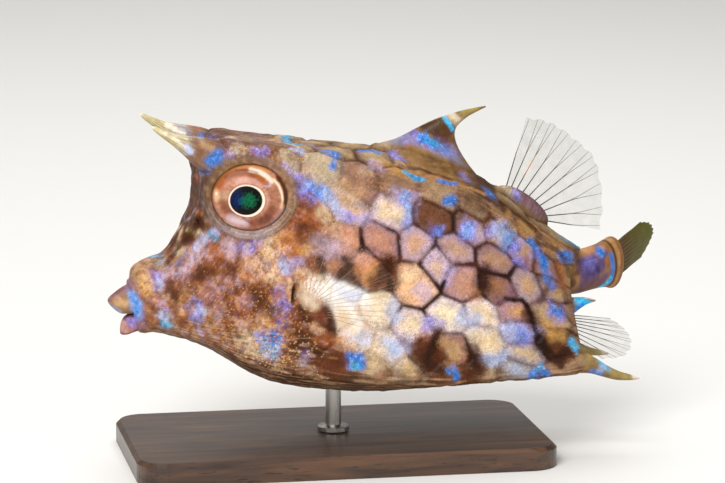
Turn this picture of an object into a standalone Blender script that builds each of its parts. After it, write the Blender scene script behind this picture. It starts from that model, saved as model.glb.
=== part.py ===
"""Thornback cowfish, a life-size still model on a display stand.

Written in millimetres about the fish's own middle: +X to the tail, -Y to the left flank, +Z up.
place() moves every point so that the stand's underside is Z = 0 and the box's middle is X = 0.
"""

import math
import random

import bmesh
import bpy
import numpy as np

for old in list(bpy.data.objects):
    bpy.data.objects.remove(old, do_unlink=True)

# Driving dimensions, millimetres.
LIP_TIP_X = -51.3        # front of the upper lip
TAIL_TIP_X = 65.4        # end of the folded tail fin
FLOOR = 43.0             # height of the fish's middle above the stand's underside
GAP = 0.3                # between neighbouring nodes
PLATE_RISE = 0.22        # a plate's face above the body's smooth surface
SEAM_DEPTH = 0.18        # a seam below it
GILL_T = 33.0            # station value where the head meets the carapace
RIM_T = 86.0             # station value of the carapace's rear rim
BASE = (84.0, 46.0, 4.5)  # stand plate: long, wide, thick
ROD_RADIUS = 1.6
STALK_Z = -7.9           # height of the tail stalk's middle where it leaves the carapace
SHIFT_X = -(LIP_TIP_X + TAIL_TIP_X) / 2

# Body stations. Each row holds a station value and seven corners of the half-section as
# (x, half-width, z): crown, upper ridge, upper flank, lower flank, lower ridge, belly, keel.
STATIONS = [
    (0.0, [(-46.9, 0, -6.0), (-46.7, 3.2, -6.6), (-46.0, 4.8, -9.2), (-45.5, 4.9, -12.8),
           (-45.1, 3.6, -15.5), (-44.9, 1.9, -16.2), (-44.8, 0, -16.3)]),
    (1.8, [(-46.3, 0, -3.8), (-46.1, 3.7, -4.5), (-45.5, 5.4, -8.4), (-44.9, 5.5, -12.4),
           (-44.3, 4.1, -15.3), (-44.1, 2.1, -16.4), (-44.1, 0, -16.6)]),
    (4.5, [(-43.4, 0, -1.8), (-43.3, 4.0, -2.7), (-43.1, 6.1, -7.5), (-42.8, 6.3, -11.5),
           (-42.5, 4.8, -15.0), (-42.3, 2.5, -16.4), (-42.2, 0, -16.8)]),
    (8.0, [(-39.9, 0, -0.5), (-39.7, 4.7, -1.2), (-39.3, 7.0, -6.0), (-39.0, 7.4, -11.0),
           (-38.6, 6.2, -15.9), (-38.4, 3.2, -17.3), (-38.4, 0, -17.6)]),
    (12.0, [(-36.8, 0, 4.0), (-36.3, 5.4, 3.6), (-35.6, 8.2, -3.5), (-35.0, 9.0, -10.5),
            (-34.4, 8.0, -17.2), (-34.2, 4.2, -18.7), (-34.2, 0, -19.0)]),
    (16.0, [(-33.7, 0, 10.0), (-33.6, 7.0, 10.6), (-32.0, 9.8, 1.0), (-31.0, 10.9, -9.5),
            (-30.0, 10.2, -18.8), (-29.8, 5.4, -20.8), (-29.8, 0, -21.4)]),
    (20.0, [(-32.0, 0, 16.2), (-33.7, 7.8, 17.2), (-29.0, 10.8, 6.0), (-27.4, 12.3, -8.2),
            (-26.2, 12.4, -20.6), (-26.0, 6.6, -23.2), (-26.0, 0, -24.0)]),
    (24.0, [(-28.0, 0, 20.6), (-29.6, 8.8, 22.3), (-25.6, 11.2, 9.5), (-23.7, 13.2, -7.0),
            (-22.4, 13.9, -21.8), (-22.2, 7.8, -25.1), (-22.2, 0, -26.0)]),
    (28.0, [(-22.4, 0, 20.9), (-23.4, 9.3, 22.0), (-20.8, 11.8, 10.8), (-19.6, 13.9, -6.2),
            (-18.6, 15.1, -22.6), (-18.5, 8.8, -26.4), (-18.5, 0, -27.4)]),
    (33.0, [(-15.8, 0, 20.6), (-16.4, 9.9, 20.8), (-14.8, 12.2, 11.0), (-14.2, 14.2, -5.6),
            (-13.6, 16.1, -23.3), (-13.6, 9.6, -27.4), (-13.6, 0, -28.4)]),
    (40.0, [(-7.2, 0, 20.1), (-7.6, 10.2, 19.1), (-7.0, 12.2, 10.2), (-6.8, 14.0, -5.6),
            (-6.4, 17.0, -24.4), (-6.4, 10.4, -28.2), (-6.4, 0, -29.2)]),
    (48.0, [(1.6, 0, 19.8), (1.4, 10.4, 17.0), (1.2, 12.2, 8.6), (1.2, 13.7, -6.5),
            (1.6, 17.2, -25.4), (1.6, 10.6, -28.6), (1.6, 0, -29.4)]),
    (57.0, [(10.8, 0, 19.0), (10.4, 10.2, 15.0), (10.2, 12.0, 7.0), (10.4, 13.4, -7.8),
            (10.6, 16.8, -26.2), (10.6, 10.2, -28.4), (10.6, 0, -29.0)]),
    (66.0, [(19.6, 0, 15.0), (19.6, 9.7, 12.2), (19.6, 11.4, 4.6), (19.6, 12.7, -9.4),
            (19.8, 15.8, -26.5), (19.8, 9.4, -27.8), (19.8, 0, -28.2)]),
    (74.0, [(27.6, 0, 9.8), (27.4, 8.8, 8.2), (27.4, 10.4, 1.2), (27.6, 11.6, -11.6),
            (28.0, 14.8, -26.5), (28.0, 8.4, -27.1), (28.0, 0, -27.3)]),
    (80.0, [(33.8, 0, 4.9), (33.8, 7.6, 3.2), (34.0, 9.2, -2.6), (34.0, 10.4, -13.6),
            (34.4, 13.6, -26.5), (34.6, 7.6, -26.7), (34.6, 0, -26.8)]),
    (86.0, [(44.4, 0, -2.2), (42.7, 5.5, -2.7), (40.3, 7.4, -7.2), (41.2, 8.8, -15.0),
            (42.8, 12.2, -25.6), (41.4, 6.6, -26.2), (40.6, 0, -26.2)]),
]
# How far each corner of a section is rounded, 1 being a plain curve with no corner left.
SOFT = np.array([1.0, 0.42, 0.9, 0.9, 0.34, 0.9, 1.0])
# Distance round the half-section to each corner, as the plates are counted.
ROUND = np.array([0.0, 10.6, 19.6, 34.0, 53.5, 61.0, 71.5])
GIRTH = 2 * ROUND[-1]

# Plate middles on the left flank as they stand in the photo: x, z.
LEFT_PLATES = [
    (-10.4, 16.5), (-2.6, 13.8), (5.0, 12.8), (13.9, 10.7), (20.9, 8.2), (27.0, 5.7), (32.4, 2.6),
    (36.9, -0.9),
    (-11.5, 8.4), (-5.2, 9.0), (3.7, 7.6), (12.3, 6.0), (19.8, 3.7), (25.9, 2.6), (31.0, -1.8),
    (-10.9, 2.2), (-5.2, 2.3), (1.5, 2.0), (8.7, 1.3), (16.4, 0.0), (24.6, -2.7), (35.6, -4.9),
    (-8.8, -2.3), (-1.6, -3.1), (12.4, -3.3),
    (-10.7, -6.4), (-6.2, -7.0), (8.1, -6.7), (17.9, -6.4), (25.4, -8.2), (31.5, -8.2),
    (37.3, -9.5),
    (-12.0, -11.1), (-6.5, -11.7), (0.5, -10.8), (14.8, -13.0), (22.0, -12.6), (28.4, -13.1),
    (36.6, -14.4),
    (-12.6, -15.8), (-3.8, -16.4), (6.4, -14.3), (16.0, -19.1), (22.8, -18.5), (30.0, -17.1),
    (31.2, -21.5), (37.2, -20.0), (2.5, -18.4), (9.8, -19.7),
    (-7.6, -21.3), (-0.4, -22.4), (6.4, -23.4), (14.1, -24.2), (21.3, -24.5), (29.2, -25.0),
]

T = np.array([row[0] for row in STATIONS])
CORNERS = np.array([row[1] for row in STATIONS], float)


def place(points):
    """Fish millimetres to the part's metres."""
    return (np.asarray(points, float) + (SHIFT_X, 0, FLOOR)) / 1000


def corners_at(t):
    """The seven section corners at each station value, by a smooth curve through the rows."""
    t = np.clip(t, T[0], T[-1])
    k = np.clip(np.searchsorted(T, t, side="right") - 1, 0, len(T) - 2)
    step = np.diff(T)[:, None, None]
    rate = np.diff(CORNERS, axis=0) / step
    slope = np.empty_like(CORNERS)
    slope[1:-1] = (rate[:-1] * step[1:] + rate[1:] * step[:-1]) / (step[1:] + step[:-1])
    slope[0], slope[-1] = rate[0], rate[-1]
    h = (T[k + 1] - T[k])[:, None, None]
    s = ((t - T[k]) / h[:, 0, 0])[:, None, None]
    return ((2 * s**3 - 3 * s**2 + 1) * CORNERS[k] + (s**3 - 2 * s**2 + s) * h * slope[k]
            + (3 * s**2 - 2 * s**3) * CORNERS[k + 1] + (s**3 - s**2) * h * slope[k + 1])


def body_point(t, w):
    """Points of the body's smooth surface. w runs round from the crown, minus on the left."""
    t, w = np.broadcast_arrays(np.asarray(t, float), np.asarray(w, float))
    shape, t, w = t.shape, t.ravel(), w.ravel()
    w = (w + GIRTH / 2) % GIRTH - GIRTH / 2
    v = np.clip(np.interp(np.abs(w), ROUND, np.arange(7.0)), 0, 6 - 1e-9)
    rows = corners_at(t)
    rows = np.concatenate([rows[:, 1:2] * (1, -1, 1), rows, rows[:, 5:6] * (1, -1, 1)], 1)
    i = v.astype(int)
    e = (v - i)[:, None]
    n = np.arange(len(t))
    a, b, c, d = rows[n, i], rows[n, i + 1], rows[n, i + 2], rows[n, i + 3]
    soft_b, soft_c = SOFT[i][:, None], SOFT[i + 1][:, None]
    f = 0.5 + e / soft_b
    near_b = ((1 - f)**2 * (b + (a - b) * soft_b / 2) + 2 * f * (1 - f) * b
              + f**2 * (b + (c - b) * soft_b / 2))
    f = (e - 1 + soft_c / 2) / soft_c
    near_c = ((1 - f)**2 * (c + (b - c) * soft_c / 2) + 2 * f * (1 - f) * c
              + f**2 * (c + (d - c) * soft_c / 2))
    out = np.where(e < soft_b / 2, near_b, np.where(e > 1 - soft_c / 2, near_c, b + (c - b) * e))
    out[:, 1] *= np.where(w < 0, -1.0, 1.0)
    return out.reshape(shape + (3,))


def body_normal(t, w):
    """Outward directions of the smooth surface."""
    t = np.clip(np.asarray(t, float), T[0] + 0.05, T[-1] - 0.05)
    along = body_point(t + 0.05, w) - body_point(t - 0.05, w)
    across = body_point(t, np.asarray(w, float) + 0.25) - body_point(t, np.asarray(w, float) - 0.25)
    out = np.cross(along, across)
    return out / np.linalg.norm(out, axis=-1, keepdims=True)


def raised(t, w, height):
    return body_point(t, w) + body_normal(t, w) * np.asarray(height, float)[..., None]


def nearest_on_flank(x, z, side):
    """Station value and distance round of the flank's point that shows at x, z from the side."""
    t, w = np.meshgrid(np.linspace(2, 86, 337), np.linspace(8.0, 56.0, 193), indexing="ij")
    points = body_point(t, w)
    k = np.argmin((points[..., 0] - x)**2 + (points[..., 2] - z)**2)
    return t.ravel()[k], side * w.ravel()[k]


def material(name, colour, roughness=0.5, metallic=0.0, alpha=1.0):
    made = bpy.data.materials.new(name)
    made.use_nodes = True
    shader = made.node_tree.nodes["Principled BSDF"]
    shader.inputs["Base Color"].default_value = (*colour, 1)
    shader.inputs["Roughness"].default_value = roughness
    shader.inputs["Metallic"].default_value = metallic
    shader.inputs["Alpha"].default_value = alpha
    return made


def mesh_object(name, points, faces, look=None, cutter=False, sharp=35):
    """A closed mesh from fish millimetres, its faces turned outwards."""
    mesh = bpy.data.meshes.new(name)
    mesh.from_pydata([tuple(p) for p in place(points)], [], [tuple(int(i) for i in f) for f in faces])
    work = bmesh.new()
    work.from_mesh(mesh)
    bmesh.ops.remove_doubles(work, verts=work.verts, dist=1e-7)
    bmesh.ops.recalc_face_normals(work, faces=work.faces)
    work.to_mesh(mesh)
    work.free()
    obj = bpy.data.objects.new(name, mesh)
    bpy.context.scene.collection.objects.link(obj)
    if look:
        mesh.materials.append(look)
    if cutter:
        obj.hide_render = True
        obj.display_type = "WIRE"
    else:
        mesh.shade_smooth()
        mesh.set_sharp_from_angle(angle=math.radians(sharp))
    return obj


def stack(rings, close_start=True, close_end=True):
    """Faces over a pile of rings with the same count, their ends closed by a fan to the middle."""
    rings = [np.asarray(r, float) for r in rings]
    n, faces = len(rings[0]), []
    points = [p for ring in rings for p in ring]
    for i in range(len(rings) - 1):
        for j in range(n):
            k = (j + 1) % n
            faces.append((i * n + j, i * n + k, (i + 1) * n + k, (i + 1) * n + j))
    for closed, ring, base in ((close_start, rings[0], 0), (close_end, rings[-1], (len(rings) - 1) * n)):
        if closed:
            points.append(ring.mean(axis=0))
            faces += [(base + j, base + (j + 1) % n, len(points) - 1) for j in range(n)]
    return points, faces


def boolean(obj, other, operation="DIFFERENCE"):
    """Cut or join at once, so that the node holds its finished mesh."""
    step = obj.modifiers.new("cut", "BOOLEAN")
    step.operation = operation
    step.solver = "EXACT"
    if isinstance(other, bpy.types.Collection):
        step.operand_type = "COLLECTION"
        step.collection = other
    else:
        step.object = other
    graph = bpy.context.evaluated_depsgraph_get()
    mesh = bpy.data.meshes.new_from_object(obj.evaluated_get(graph))
    obj.modifiers.clear()
    looks = [m for m in obj.data.materials]
    obj.data = mesh
    mesh.materials.clear()
    for look in looks[:1]:
        mesh.materials.append(look)
    keep_largest(obj)
    mesh.shade_smooth()
    mesh.set_sharp_from_angle(angle=math.radians(35))


def join(obj, pieces):
    """Unite closed pieces with a node and drop them."""
    group = bpy.data.collections.new(obj.name + "_pieces")
    bpy.context.scene.collection.children.link(group)
    for piece in pieces:
        for home in list(piece.users_collection):
            home.objects.unlink(piece)
        group.objects.link(piece)
    boolean(obj, group, "UNION")
    for piece in pieces:
        bpy.data.objects.remove(piece, do_unlink=True)
    bpy.data.collections.remove(group)


def keep_largest(obj):
    """Keep the largest closed surface that a cut or a join left."""
    work = bmesh.new()
    work.from_mesh(obj.data)
    bmesh.ops.remove_doubles(work, verts=work.verts, dist=2e-7)
    left, parts = set(work.verts), []
    while left:
        seed = left.pop()
        group, front = {seed}, [seed]
        while front:
            for edge in front.pop().link_edges:
                for vert in edge.verts:
                    if vert in left:
                        left.discard(vert)
                        group.add(vert)
                        front.append(vert)
        parts.append(group)
    parts.sort(key=lambda g: -max((a.co - b.co).length for a in list(g)[:1] for b in g))
    for group in parts[1:]:
        bmesh.ops.delete(work, geom=list(group), context="VERTS")
    bmesh.ops.triangulate(work, faces=work.faces)
    work.to_mesh(obj.data)
    work.free()


def opening(w, reach, x):
    """A point of the oval round the tail's root for each distance round the section."""
    turn = np.asarray(w) / (GIRTH / 2) * math.pi
    return np.stack([np.full_like(turn, x), 4.7 * reach * np.sin(turn),
                     STALK_Z + 5.0 * reach * np.cos(turn)], -1)


def rear_rings(w, grow):
    """Rings that turn from the carapace's rim over its rear wall into the tail's recess."""
    rim = body_point(RIM_T, w)
    mid = np.array([40.8, 0, -9.0])
    edge = rim + (0.45 + grow, 0, 0)
    wall = opening(w, 1.0, 40.6 + grow)
    edge = edge + (mid - edge) * (0, 0.05, 0.035)
    inner = edge * 0.5 + wall * 0.5
    inner[:, 0] = np.minimum(inner[:, 0], 41.4 + grow)
    return edge, inner, wall


def section_ring(t, count, height=0.0):
    w = (np.arange(count) / count - 0.5) * GIRTH
    return raised(np.full(count, float(t)), w, np.full(count, height))


LOOKS = {
    "skin": material("skin", (0.55, 0.36, 0.24), 0.45),
    "plates": material("plates", (0.66, 0.46, 0.36), 0.45),
    "lip": material("lip", (0.55, 0.40, 0.25), 0.4),
    "horn": material("horn", (0.55, 0.50, 0.28), 0.4),
    "thorn": material("thorn", (0.30, 0.26, 0.20), 0.4),
    "eye": material("eye", (0.50, 0.27, 0.20), 0.15),
    "ray": material("ray", (0.45, 0.38, 0.30), 0.3, alpha=0.5),
    "lobe": material("lobe", (0.38, 0.28, 0.30), 0.45),
    "tail": material("tail", (0.45, 0.26, 0.20), 0.45),
    "tailfin": material("tailfin", (0.30, 0.26, 0.08), 0.4),
    "wood": material("wood", (0.07, 0.035, 0.02), 0.35),
    "steel": material("steel", (0.6, 0.6, 0.6), 0.3, metallic=1.0),
}

# The body grown by a little over the gap, which trims whatever stands on it.
COLUMNS = 72
w_cut = (np.arange(COLUMNS) / COLUMNS - 0.5) * GIRTH
grown = [section_ring(t, COLUMNS, PLATE_RISE + GAP) for t in np.linspace(0.0, RIM_T, 50)]
grown[0] = grown[0] - (GAP, 0, 0)
grown += [ring for ring in rear_rings(w_cut, GAP + 0.05)]
body_cutter = mesh_object("body_cutter", *stack(grown), cutter=True)

# Head: a smooth shell from the lips to the gill line.
head_rings = [section_ring(t, 64) for t in np.concatenate([
    np.linspace(0, 4.5, 5), np.linspace(6, 30, 18), [31.5, GILL_T - GAP / 2]])]
head = mesh_object("head", *stack(head_rings), LOOKS["skin"])


def frame_at(t, w):
    """Point, outward normal and two directions along the surface."""
    point, normal = body_point(t, w), body_normal(t, w)
    up = np.array([0, 0, 1.0]) - normal * normal[2]
    up /= np.linalg.norm(up)
    return point, normal, up, np.cross(up, normal)


def turned(profile, centre, axis, up, count):
    """Rings of a turned shape: profile rows are radius and height along the axis."""
    side = np.cross(axis, up)
    turn = np.arange(count) / count * 2 * math.pi
    ring = np.cos(turn)[:, None] * up + np.sin(turn)[:, None] * side
    return [centre + ring * r + axis * h for r, h in profile]


EYE_X, EYE_Z, EYE_RADIUS = -24.5, 11.4, 7.3
orbit_cutters = {}
for name, side in (("left", -1), ("right", 1)):
    t_eye, w_eye = nearest_on_flank(EYE_X, EYE_Z, side)
    at = body_point(t_eye, w_eye)
    axis = np.array([-0.12, 0.975 * side, 0.16])
    axis /= np.linalg.norm(axis)
    up = np.array([0, 0, 1.0]) - axis * axis[2]
    up /= np.linalg.norm(up)
    turn = np.arange(40) / 40 * 2 * math.pi
    # The orbit's soft raised ring, and the same ring grown by the gap to trim the horn.
    for grow in (0.0, GAP):
        ring = [(EYE_RADIUS + 1.0 + (1.25 + grow) * math.cos(a), 0.1 + (0.85 + grow) * math.sin(a))
                for a in np.arange(8) / 8 * 2 * math.pi]
        rings = turned(ring, at, axis, up, 40)
        points, faces = stack(rings + [rings[0]], False, False)
        orbit = mesh_object("orbit", points, faces, cutter=True)
        if grow:
            orbit_cutters[name] = orbit
        else:
            join(head, [orbit])
    socket = mesh_object("socket", *stack(turned(
        [(6.9 + GAP, -2.9 - GAP), (EYE_RADIUS + GAP, -1.4), (EYE_RADIUS + GAP, 1.0),
         (EYE_RADIUS + 1.6, 2.4)], at, axis, up, 40)), cutter=True)
    boolean(head, socket)
    bpy.data.objects.remove(socket, do_unlink=True)
    mesh_object("eye_" + name, *stack(turned(
        [(6.9, -2.9), (EYE_RADIUS, -1.4), (EYE_RADIUS, 0.1), (7.0, 0.75), (6.0, 1.25), (4.6, 1.65),
         (3.3, 1.9), (1.6, 2.1)], at, axis, up, 40)), LOOKS["eye"])

    # Gill slit just ahead of the carapace, and a nostril before the eye.
    for x, z, tall, wide, deep, lean in ((-15.6, -6.4, 2.6, 0.42, 1.5, 0.25),
                                         (-34.4, 6.2, 0.5, 0.42, 0.8, 0.0)):
        t_cut, w_cut_at = nearest_on_flank(x, z, side)
        spot, out, high, along = frame_at(t_cut, w_cut_at)
        high = high + along * lean
        high /= np.linalg.norm(high)
        along = np.cross(high, out)
        around = np.arange(12) / 12 * 2 * math.pi
        oval = np.cos(around)[:, None] * high * tall + np.sin(around)[:, None] * along * wide
        rings = [spot + out * d + oval * r
                 for d, r in ((-deep, 0.6), (-deep / 2, 0.9), (0.3, 1.0), (1.5, 1.1))]
        slit = mesh_object("slit", *stack(rings), cutter=True)
        boolean(head, slit)
        bpy.data.objects.remove(slit, do_unlink=True)


def tube(name, rows, look, count=16, cutter=None):
    """A horn-like solid. Rows: middle, half-height, half-width, with ends closed."""
    middles = np.array([row[0] for row in rows], float)
    rings = []
    for i, (middle, high, wide) in enumerate(rows):
        ahead = middles[min(i + 1, len(rows) - 1)] - middles[max(i - 1, 0)]
        ahead /= np.linalg.norm(ahead)
        side = np.cross(ahead, (0, 0, 1.0) if abs(ahead[2]) < 0.9 else (-1.0, 0, 0))
        side /= np.linalg.norm(side)
        up = np.cross(side, ahead)
        turn = np.arange(count) / count * 2 * math.pi
        rings.append(np.array(middle) + np.cos(turn)[:, None] * up * high
                     + np.sin(turn)[:, None] * side * wide)
    obj = mesh_object(name, *stack(rings), look)
    if cutter:
        boolean(obj, cutter)
    return obj


for name, side in (("left", -1), ("right", 1)):
    horn = tube("horn_" + name, [
        ((-30.0, 7.9 * side, 18.6), 3.6, 2.6), ((-32.6, 8.2 * side, 19.8), 3.3, 2.4),
        ((-34.8, 8.5 * side, 20.9), 2.6, 1.9), ((-36.8, 8.7 * side, 21.9), 1.85, 1.4),
        ((-38.8, 9.0 * side, 22.9), 1.2, 0.95), ((-40.9, 9.3 * side, 24.1), 0.8, 0.7),
        ((-42.6, 9.55 * side, 25.15), 0.5, 0.45), ((-43.3, 9.6 * side, 25.55), 0.22, 0.22),
    ], LOOKS["horn"], 14, body_cutter)
    boolean(horn, orbit_cutters[name])
    bpy.data.objects.remove(orbit_cutters[name], do_unlink=True)

# Dorsal thorn: lens-shaped slices between its front and rear edge, (x, z) pairs and half-width.
THORN = [
    ((-1.0, 17.0), (31.0, 4.0), 6.2), ((3.0, 20.0), (27.4, 8.6), 4.6), ((6.8, 21.3), (24.2, 12.2), 3.2),
    ((11.0, 22.9), (21.8, 15.8), 2.1), ((14.6, 24.3), (20.4, 19.4), 1.45), ((17.4, 25.2), (20.2, 22.2), 1.0),
    ((20.4, 26.0), (21.6, 24.4), 0.7), ((23.2, 26.5), (23.6, 25.8), 0.4), ((25.0, 26.75), (25.1, 26.5), 0.2),
]


def blade(name, slices, look, count=12):
    rings = []
    for (x0, z0), (x1, z1), wide in slices:
        turn = np.arange(count) / count * 2 * math.pi
        along, out = (1 - np.cos(turn)) / 2, np.sin(turn)
        out = np.sign(out) * np.abs(out)**1.3 * wide
        rings.append(np.stack([x0 + (x1 - x0) * along, out, z0 + (z1 - z0) * along], 1))
    return mesh_object(name, *stack(rings), look)


thorn = blade("dorsal_thorn", THORN, LOOKS["thorn"])
boolean(thorn, body_cutter)

for name, side in (("left", -1), ("right", 1)):
    tube("rear_spine_" + name, [
        ((39.2, 10.2 * side, -23.4), 2.2, 1.3), ((42.2, 11.2 * side, -23.9), 2.3, 1.5),
        ((44.6, 11.7 * side, -24.6), 1.7, 1.5), ((47.0, 12.0 * side, -25.7), 1.25, 1.2),
        ((49.6, 12.2 * side, -26.7), 0.95, 0.95), ((52.2, 12.3 * side, -27.2), 0.6, 0.6),
        ((54.2, 12.3 * side, -27.5), 0.25, 0.25),
    ], LOOKS["horn"], 14, body_cutter)


def lip(name, rows, look):
    """Rows: x, top, bottom, half-width."""
    rings = []
    for x, top, bottom, wide in rows:
        turn = np.arange(20) / 20 * 2 * math.pi
        up, out = np.cos(turn), np.sin(turn)
        rings.append(np.stack([np.full(20, x) + 0.9 * np.abs(out)**2, out * wide,
                               (top + bottom) / 2 + np.sign(up) * np.abs(up)**0.8 * (top - bottom) / 2], 1))
    obj = mesh_object(name, *stack(rings), look)
    boolean(obj, body_cutter)


lip("upper_lip", [(-51.3, -9.9, -10.5, 0.9), (-50.8, -9.4, -11.2, 1.7), (-49.9, -8.7, -12.0, 2.5),
                  (-48.8, -7.9, -12.8, 3.2), (-47.2, -7.1, -12.9, 3.9), (-44.6, -6.6, -12.9, 4.3)],
    LOOKS["lip"])
lip("lower_lip", [(-49.2, -14.1, -15.8, 0.9), (-48.9, -13.6, -16.5, 1.8), (-48.0, -13.35, -16.8, 2.6),
                  (-46.6, -13.25, -16.6, 3.3), (-43.2, -13.25, -15.6, 3.1)], LOOKS["lip"])

# Carapace: plate cells in the plane of station value and distance round.
FRONT_T, REAR_T = GILL_T + GAP / 2, RIM_T
rng = random.Random(12)


def wrap(w):
    return (w + GIRTH / 2) % GIRTH - GIRTH / 2


def plate_middles():
    """Plates in rows round the body, those of the left flank where the photo has them."""
    measured = [nearest_on_flank(x, z, -1) for x, z in LEFT_PLATES]
    mirrored = [(t + rng.uniform(-0.7, 0.7), -w + rng.uniform(-0.6, 0.6)) for t, w in measured]
    found = measured + mirrored
    rows, pitch = 22, 7.4
    for r in range(rows):
        w = wrap(r * GIRTH / rows)
        for c in range(13):
            t = 24.0 + (c + 0.5 * (r % 2)) * pitch * (0.93 if abs(w) < 12 else 1.0)
            t += rng.uniform(-0.5, 0.5)
            spot = (t, w + rng.uniform(-0.35, 0.35) * (abs(w) > 1))
            clear = 5.2 if 12 < abs(w) < 52 else 4.6
            if all(math.hypot(spot[0] - a, wrap(spot[1] - b)) > clear for a, b in found):
                found.append(spot)
    return np.array(found)


def clipped(polygon, normal, offset):
    """The part of a polygon where normal . p <= offset."""
    out = []
    for k, b in enumerate(polygon):
        a = polygon[k - 1]
        da, db = a @ normal - offset, b @ normal - offset
        if (da < 0) != (db < 0):
            out.append(a + (b - a) * da / (da - db))
        if db < 0:
            out.append(b)
    return out


def plate_cells(middles):
    """Convex cells, each nearer to its own middle than to any other, cut off at both ends."""
    cells = []
    for i, middle in enumerate(middles):
        cell = [middle + (a * 11, b * 11) for a, b in ((-1, -1), (1, -1), (1, 1), (-1, 1))]
        away = middles - middle
        away[:, 1] = wrap(away[:, 1])
        for k in np.argsort((away**2).sum(1))[1:24]:
            if len(cell) > 2:
                cell = clipped(cell, away[k], middle @ away[k] + away[k] @ away[k] / 2)
        for normal, offset in (((-1.0, 0.0), -FRONT_T), ((1.0, 0.0), REAR_T)):
            if len(cell) > 2:
                cell = clipped(cell, np.array(normal), offset)
        if len(cell) > 2:
            cells.append(np.array(cell))
    return cells


def carapace():
    cells = plate_cells(plate_middles())
    # Corners that belong together become one.
    spots, owner = [], []
    for cell in cells:
        row = []
        for t, w in cell:
            for k, (a, b) in enumerate(spots):
                if math.hypot(t - a, wrap(w - b)) < 0.75:
                    break
            else:
                spots.append([t, wrap(w)])
                k = len(spots) - 1
            if abs(t - FRONT_T) < 1e-6 or abs(t - REAR_T) < 1e-6:
                spots[k][0] = t
            row.append(k)
        row = [k for i, k in enumerate(row) if k != row[i - 1]]
        owner.append(row)
    spots = np.array(spots)
    points = list(raised(spots[:, 0], spots[:, 1], np.full(len(spots), -SEAM_DEPTH)))
    split = {}

    def along(a, b):
        """Corner numbers from a to b, the edge between them bent to the body where it must be."""
        key = (min(a, b), max(a, b))
        if key not in split:
            p, q = spots[key[0]], spots[key[1]].copy()
            q[1] = p[1] + wrap(q[1] - p[1])
            half = (p + q) / 2
            true = raised(half[0], half[1], -SEAM_DEPTH)
            off = np.linalg.norm(true - (points[key[0]] + points[key[1]]) / 2)
            parts = 1 if off < 0.12 else 2 if off < 0.5 else 4
            inner = []
            for s in np.arange(1, parts) / parts:
                r = p + (q - p) * s
                inner.append((len(points), r[0], wrap(r[1])))
                points.append(raised(r[0], r[1], -SEAM_DEPTH))
            split[key] = inner
        inner = [(k, t, w) for k, t, w in split[key]]
        return [(a, *spots[a])] + (inner if a < b else inner[::-1])

    faces, ends = [], {FRONT_T: [], REAR_T: []}
    for row in owner:
        if len(set(row)) < 3:
            continue
        loop = [step for i in range(len(row)) for step in along(row[i], row[(i + 1) % len(row)])]
        numbers = [step[0] for step in loop]
        flat = np.array([step[1:] for step in loop])
        flat[:, 1] = flat[0, 1] + wrap(flat[:, 1] - flat[0, 1])
        middle = flat.mean(0)
        away = middle - flat
        far = np.linalg.norm(away, axis=1, keepdims=True)
        inner = flat + away * np.minimum(0.5, 0.95 / np.maximum(far, 1e-6))
        first = len(points)
        points.extend(raised(inner[:, 0], inner[:, 1], np.full(len(inner), PLATE_RISE)))
        points.append(raised(middle[0], middle[1], PLATE_RISE + 0.05))
        n = len(loop)
        for i in range(n):
            k = (i + 1) % n
            faces.append((numbers[i], numbers[k], first + k, first + i))
            faces.append((first + i, first + k, first + n))
            for end in ends:
                if abs(flat[i, 0] - end) < 1e-6 and abs(flat[k, 0] - end) < 1e-6:
                    ends[end].append((numbers[i], wrap(flat[i, 1])))
                    ends[end].append((numbers[k], wrap(flat[k, 1])))
    for end, found in ends.items():
        ring = sorted({k: w for k, w in found}.items(), key=lambda item: item[1])
        numbers, w = [k for k, _ in ring], np.array([w for _, w in ring])
        rings = [numbers]
        if end == REAR_T:
            for made in rear_rings(w, 0.0) + (opening(w, 0.97, 38.4),):
                rings.append(list(range(len(points), len(points) + len(made))))
                points.extend(made)
        for a, b in zip(rings, rings[1:]):
            faces += [(a[i - 1], a[i], b[i], b[i - 1]) for i in range(len(a))]
        last = rings[-1]
        points.append(np.mean([points[k] for k in last], axis=0))
        faces += [(last[i - 1], last[i], len(points) - 1) for i in range(len(last))]
    return points, faces


trunk = mesh_object("carapace", *carapace(), LOOKS["plates"], sharp=24)
# A short pointed flap each side of the tail's opening.
join(trunk, [tube("flap", [((40.6, 6.6 * side, -13.2), 1.5, 0.8), ((42.2, 6.5 * side, -12.9), 1.4, 0.7),
                           ((43.8, 6.3 * side, -12.6), 1.0, 0.5), ((45.4, 6.1 * side, -12.4), 0.55, 0.35),
                           ((46.6, 6.0 * side, -12.5), 0.2, 0.2)], LOOKS["plates"], 10)
             for side in (-1, 1)])


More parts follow.
